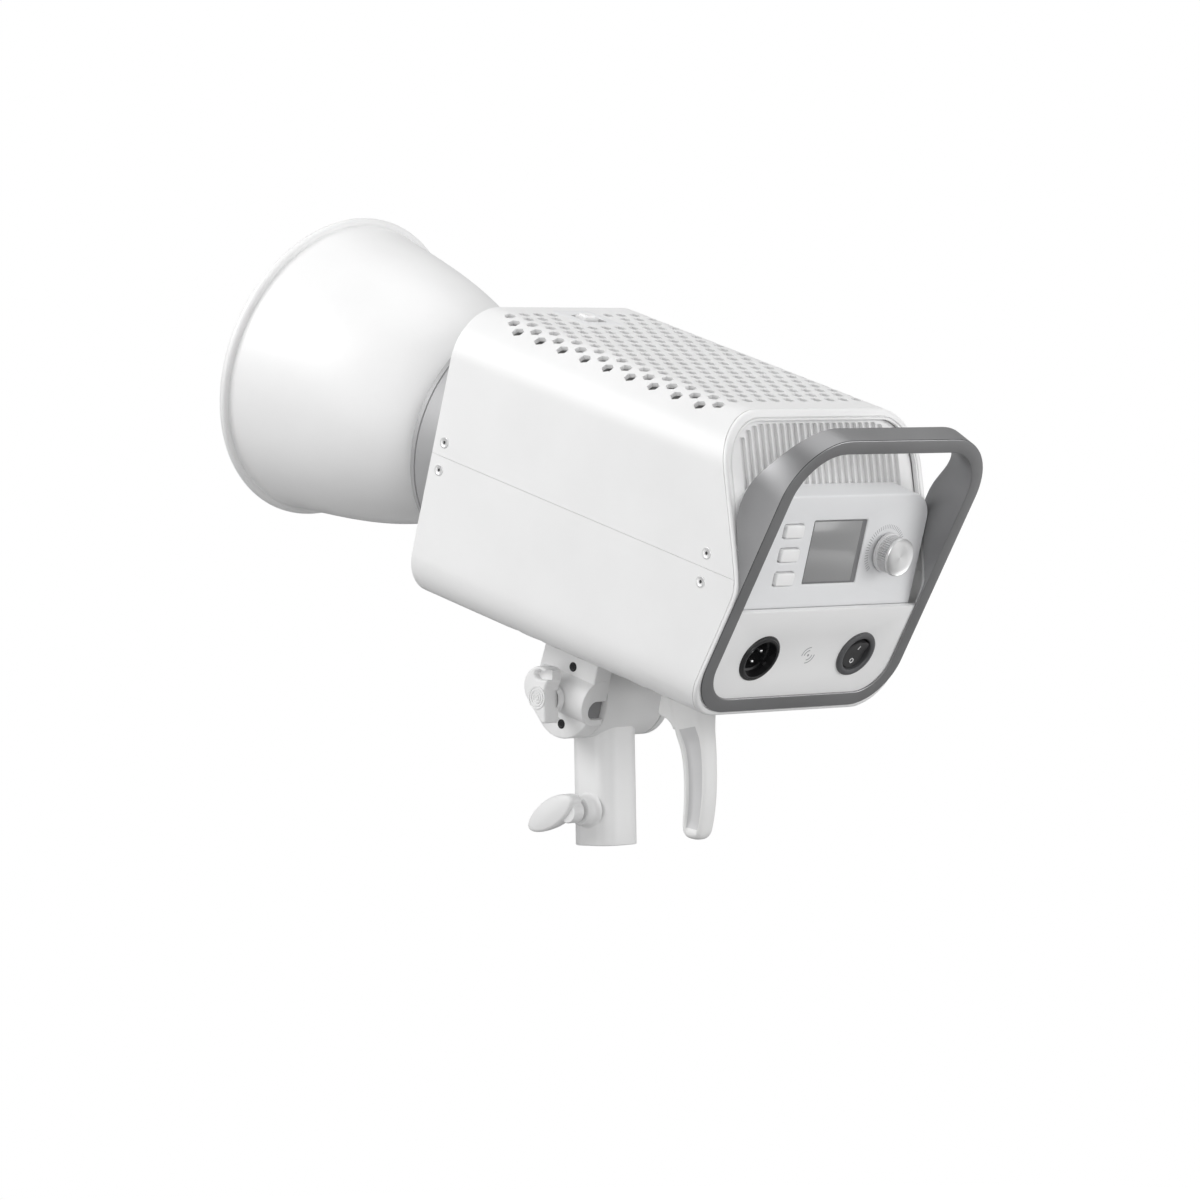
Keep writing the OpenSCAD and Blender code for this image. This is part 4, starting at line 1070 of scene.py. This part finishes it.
def grip():
    """Pistol grip: a bent bar of rounded-square section with a long hollow down each side."""
    # (y, z, half depth, half width, share of the hollow)
    stations = [(63, 34, 14.8, 10.6, 0), (64, 29, 14.5, 10.4, 0), (67.5, 14, 12.4, 9.6, 0),
                (72.5, 4, 10.6, 8.4, 0.3), (75.2, -0.6, 10.0, 7.8, 1), (77.5, -4.5, 9.5, 7.4, 1),
                (80.8, -12, 9.0, 7, 1), (83.6, -20, 8.7, 7, 1), (86.4, -30, 8.4, 7, 1),
                (87.9, -38, 8.0, 7, 1), (88.8, -45, 7.6, 7, 1), (89.3, -48.6, 7.2, 6.9, 0.5),
                (89.6, -51, 6.6, 6.5, 0), (90.0, -53.4, 5.2, 5.2, 0), (90.2, -54.6, 2.6, 2.6, 0)]
    rings, dents = [], []
    n = 72

    def ease(v):
        v = min(1.0, max(0.0, v))
        return v * v * (3 - 2 * v)

    for k, (y, z, deep, wide, hollow) in enumerate(stations):
        a, b = stations[max(0, k - 1)], stations[min(len(stations) - 1, k + 1)]
        across = Vector((1, 0, 0)).cross(Vector((0, b[0] - a[0], b[1] - a[1])).normalized())
        ring = []
        for i in range(n):
            c, s = cosd(360 * i / n), sind(360 * i / n)
            x = wide * math.copysign(abs(c) ** 0.55, c)
            d = deep * math.copysign(abs(s) ** 0.55, s)
            dent = 3.6 * hollow * ease((d / deep + 0.62) / 0.3) * ease((0.82 - d / deep) / 0.3)
            x -= math.copysign(min(dent, abs(x)), x) if abs(c) > 0.05 else 0
            dents.append(dent)
            ring.append(Vector((x, y, z)) + across * d)
        rings.append(ring)
    bm = bmesh.new()
    loft(bm, rings)
    bm.verts.index_update()
    # faces deep in the hollow take the second, darker grey: painted shade in the groove
    for face in bm.faces:
        dent = sum(dents[v.index] for v in face.verts) / 4
        face.material_index = 1 if len(face.verts) == 4 and dent > 1.5 else 0
    o = finish_mesh("grip_bow", bm, HEAD, [grip_white, grip_groove_shade], "head", ["grip_handle"],
                    sharp=60)
    smooth = o.modifiers.new("smooth", "SUBSURF")
    smooth.levels = smooth.render_levels = 1
    # arm that carries the grip back from the tilt bracket
    bm = bmesh.new()
    arm = [(49, 33), (49, 7.4), (49.6, 6.0), (51, 5.3), (56.5, 4.9), (60, 3.4), (62.8, 1.0), (67, 4),
           (73, 14), (73, 33)]
    plate(bm, [arm[::-1]], -8.0, 8.0, 1.8, 1.8, 4, place=lambda y, x, z: (x, y, z))
    finish_mesh("grip_arm", bm, HEAD, grip_white, "head", (), sharp=50)


for build in (reflector, mount_ring, housings, vent_backing, recess_tray, side_screws, rear_bezel, grille,
              control_panel, connector_panel, screen, buttons, dial, power_inlet, power_switch,
              radio_arcs, loop_handle, stand_yoke, tilt_bracket, tilt_lever, lock_wing, grip):
    build()


# ------------------------------------------------------------ Floor and light
def pale_floor():
    """Pale disc under the light whose rim fades to white."""
    bm = bmesh.new()
    bmesh.ops.create_circle(bm, cap_ends=True, radius=1.35, segments=96)
    bm.transform(Matrix.Translation((0, 0, -0.35)))
    me = bpy.data.meshes.new("floor")
    bm.to_mesh(me)
    bm.free()
    o = bpy.data.objects.new("floor", me)
    bpy.context.scene.collection.objects.link(o)
    m, nt, place = start_material("pale_floor")
    out = node(nt, "VectorMath", place, operation="LENGTH", out="Value")
    fade = node(nt, "MapRange", out, 0.95, 1.3, interpolation_type="SMOOTHSTEP")
    me.materials.append(shade(m, Base_Color=(0.30, 0.30, 0.30, 1), Roughness=0.9,
                              Emission_Color=(1, 1, 1, 1), Emission_Strength=fade))


def area_light(name, loc, size, power):
    """Square soft light aimed at the middle of the object."""
    data = bpy.data.lights.new(name, "AREA")
    data.energy = power
    data.size = size
    o = bpy.data.objects.new(name, data)
    o.location = loc
    o.rotation_mode = "QUATERNION"
    o.rotation_quaternion = (Vector((0, 0, 0.16)) - Vector(loc)).to_track_quat("-Z", "Y")
    bpy.context.scene.collection.objects.link(o)


def studio():
    """White backdrop, a dim sky brighter towards the top, and five soft lights."""
    world = bpy.data.worlds.new("studio")
    bpy.context.scene.world = world
    world.use_nodes = True
    nt = world.node_tree
    nt.nodes.clear()
    out = nt.nodes.new("ShaderNodeOutputWorld")
    up = node(nt, "SeparateXYZ", node(nt, "TexCoord"), out="Z")
    sky = node(nt, "Background", (1, 1, 1, 1), node(nt, "MapRange", up, -0.25, 0.25, 0.08, 0.42))
    backdrop = node(nt, "Background", (1, 1, 1, 1), 1.0)
    put(nt, out.inputs["Surface"], node(nt, "MixShader", node(nt, "LightPath"), sky, backdrop))
    area_light("key_top", (-0.2, 0.3, 1.6), 1.4, 8)
    area_light("key_left", (1.05, -0.65, 0.95), 0.8, 11)
    area_light("low_left", (1.5, -0.2, 0.05), 0.8, 4)
    area_light("fill_right", (-1.0, 1.8, 0.3), 1.2, 17)
    area_light("fill_camera", (1.7, 2.6, 0.3), 1.4, 20)


def camera(az=134.04, el=1.29, roll=-1.03, spot=(2.5705, 2.4843, 0.2184)):
    """Camera behind and to the left of the light, with a long lens."""
    back = Vector((sind(az) * cosd(el), -cosd(az) * cosd(el), sind(el)))
    right = (-back).cross(Vector((0, 0, 1))).normalized()
    up = right.cross(-back)
    r = right * cosd(roll) + up * sind(roll)
    u = up * cosd(roll) - right * sind(roll)
    data = bpy.data.cameras.new("camera")
    data.sensor_width = 36
    data.lens = 190.38
    data.clip_start = 0.05
    data.clip_end = 200
    o = bpy.data.objects.new("camera", data)
    turn = Matrix((r, u, back)).transposed().to_4x4()
    o.matrix_world = Matrix.Translation(spot) @ turn
    bpy.context.scene.collection.objects.link(o)
    bpy.context.scene.camera = o


pale_floor()
studio()
camera()
bpy.context.scene.view_settings.view_transform = "Standard"
bpy.context.scene.view_settings.look = "None"
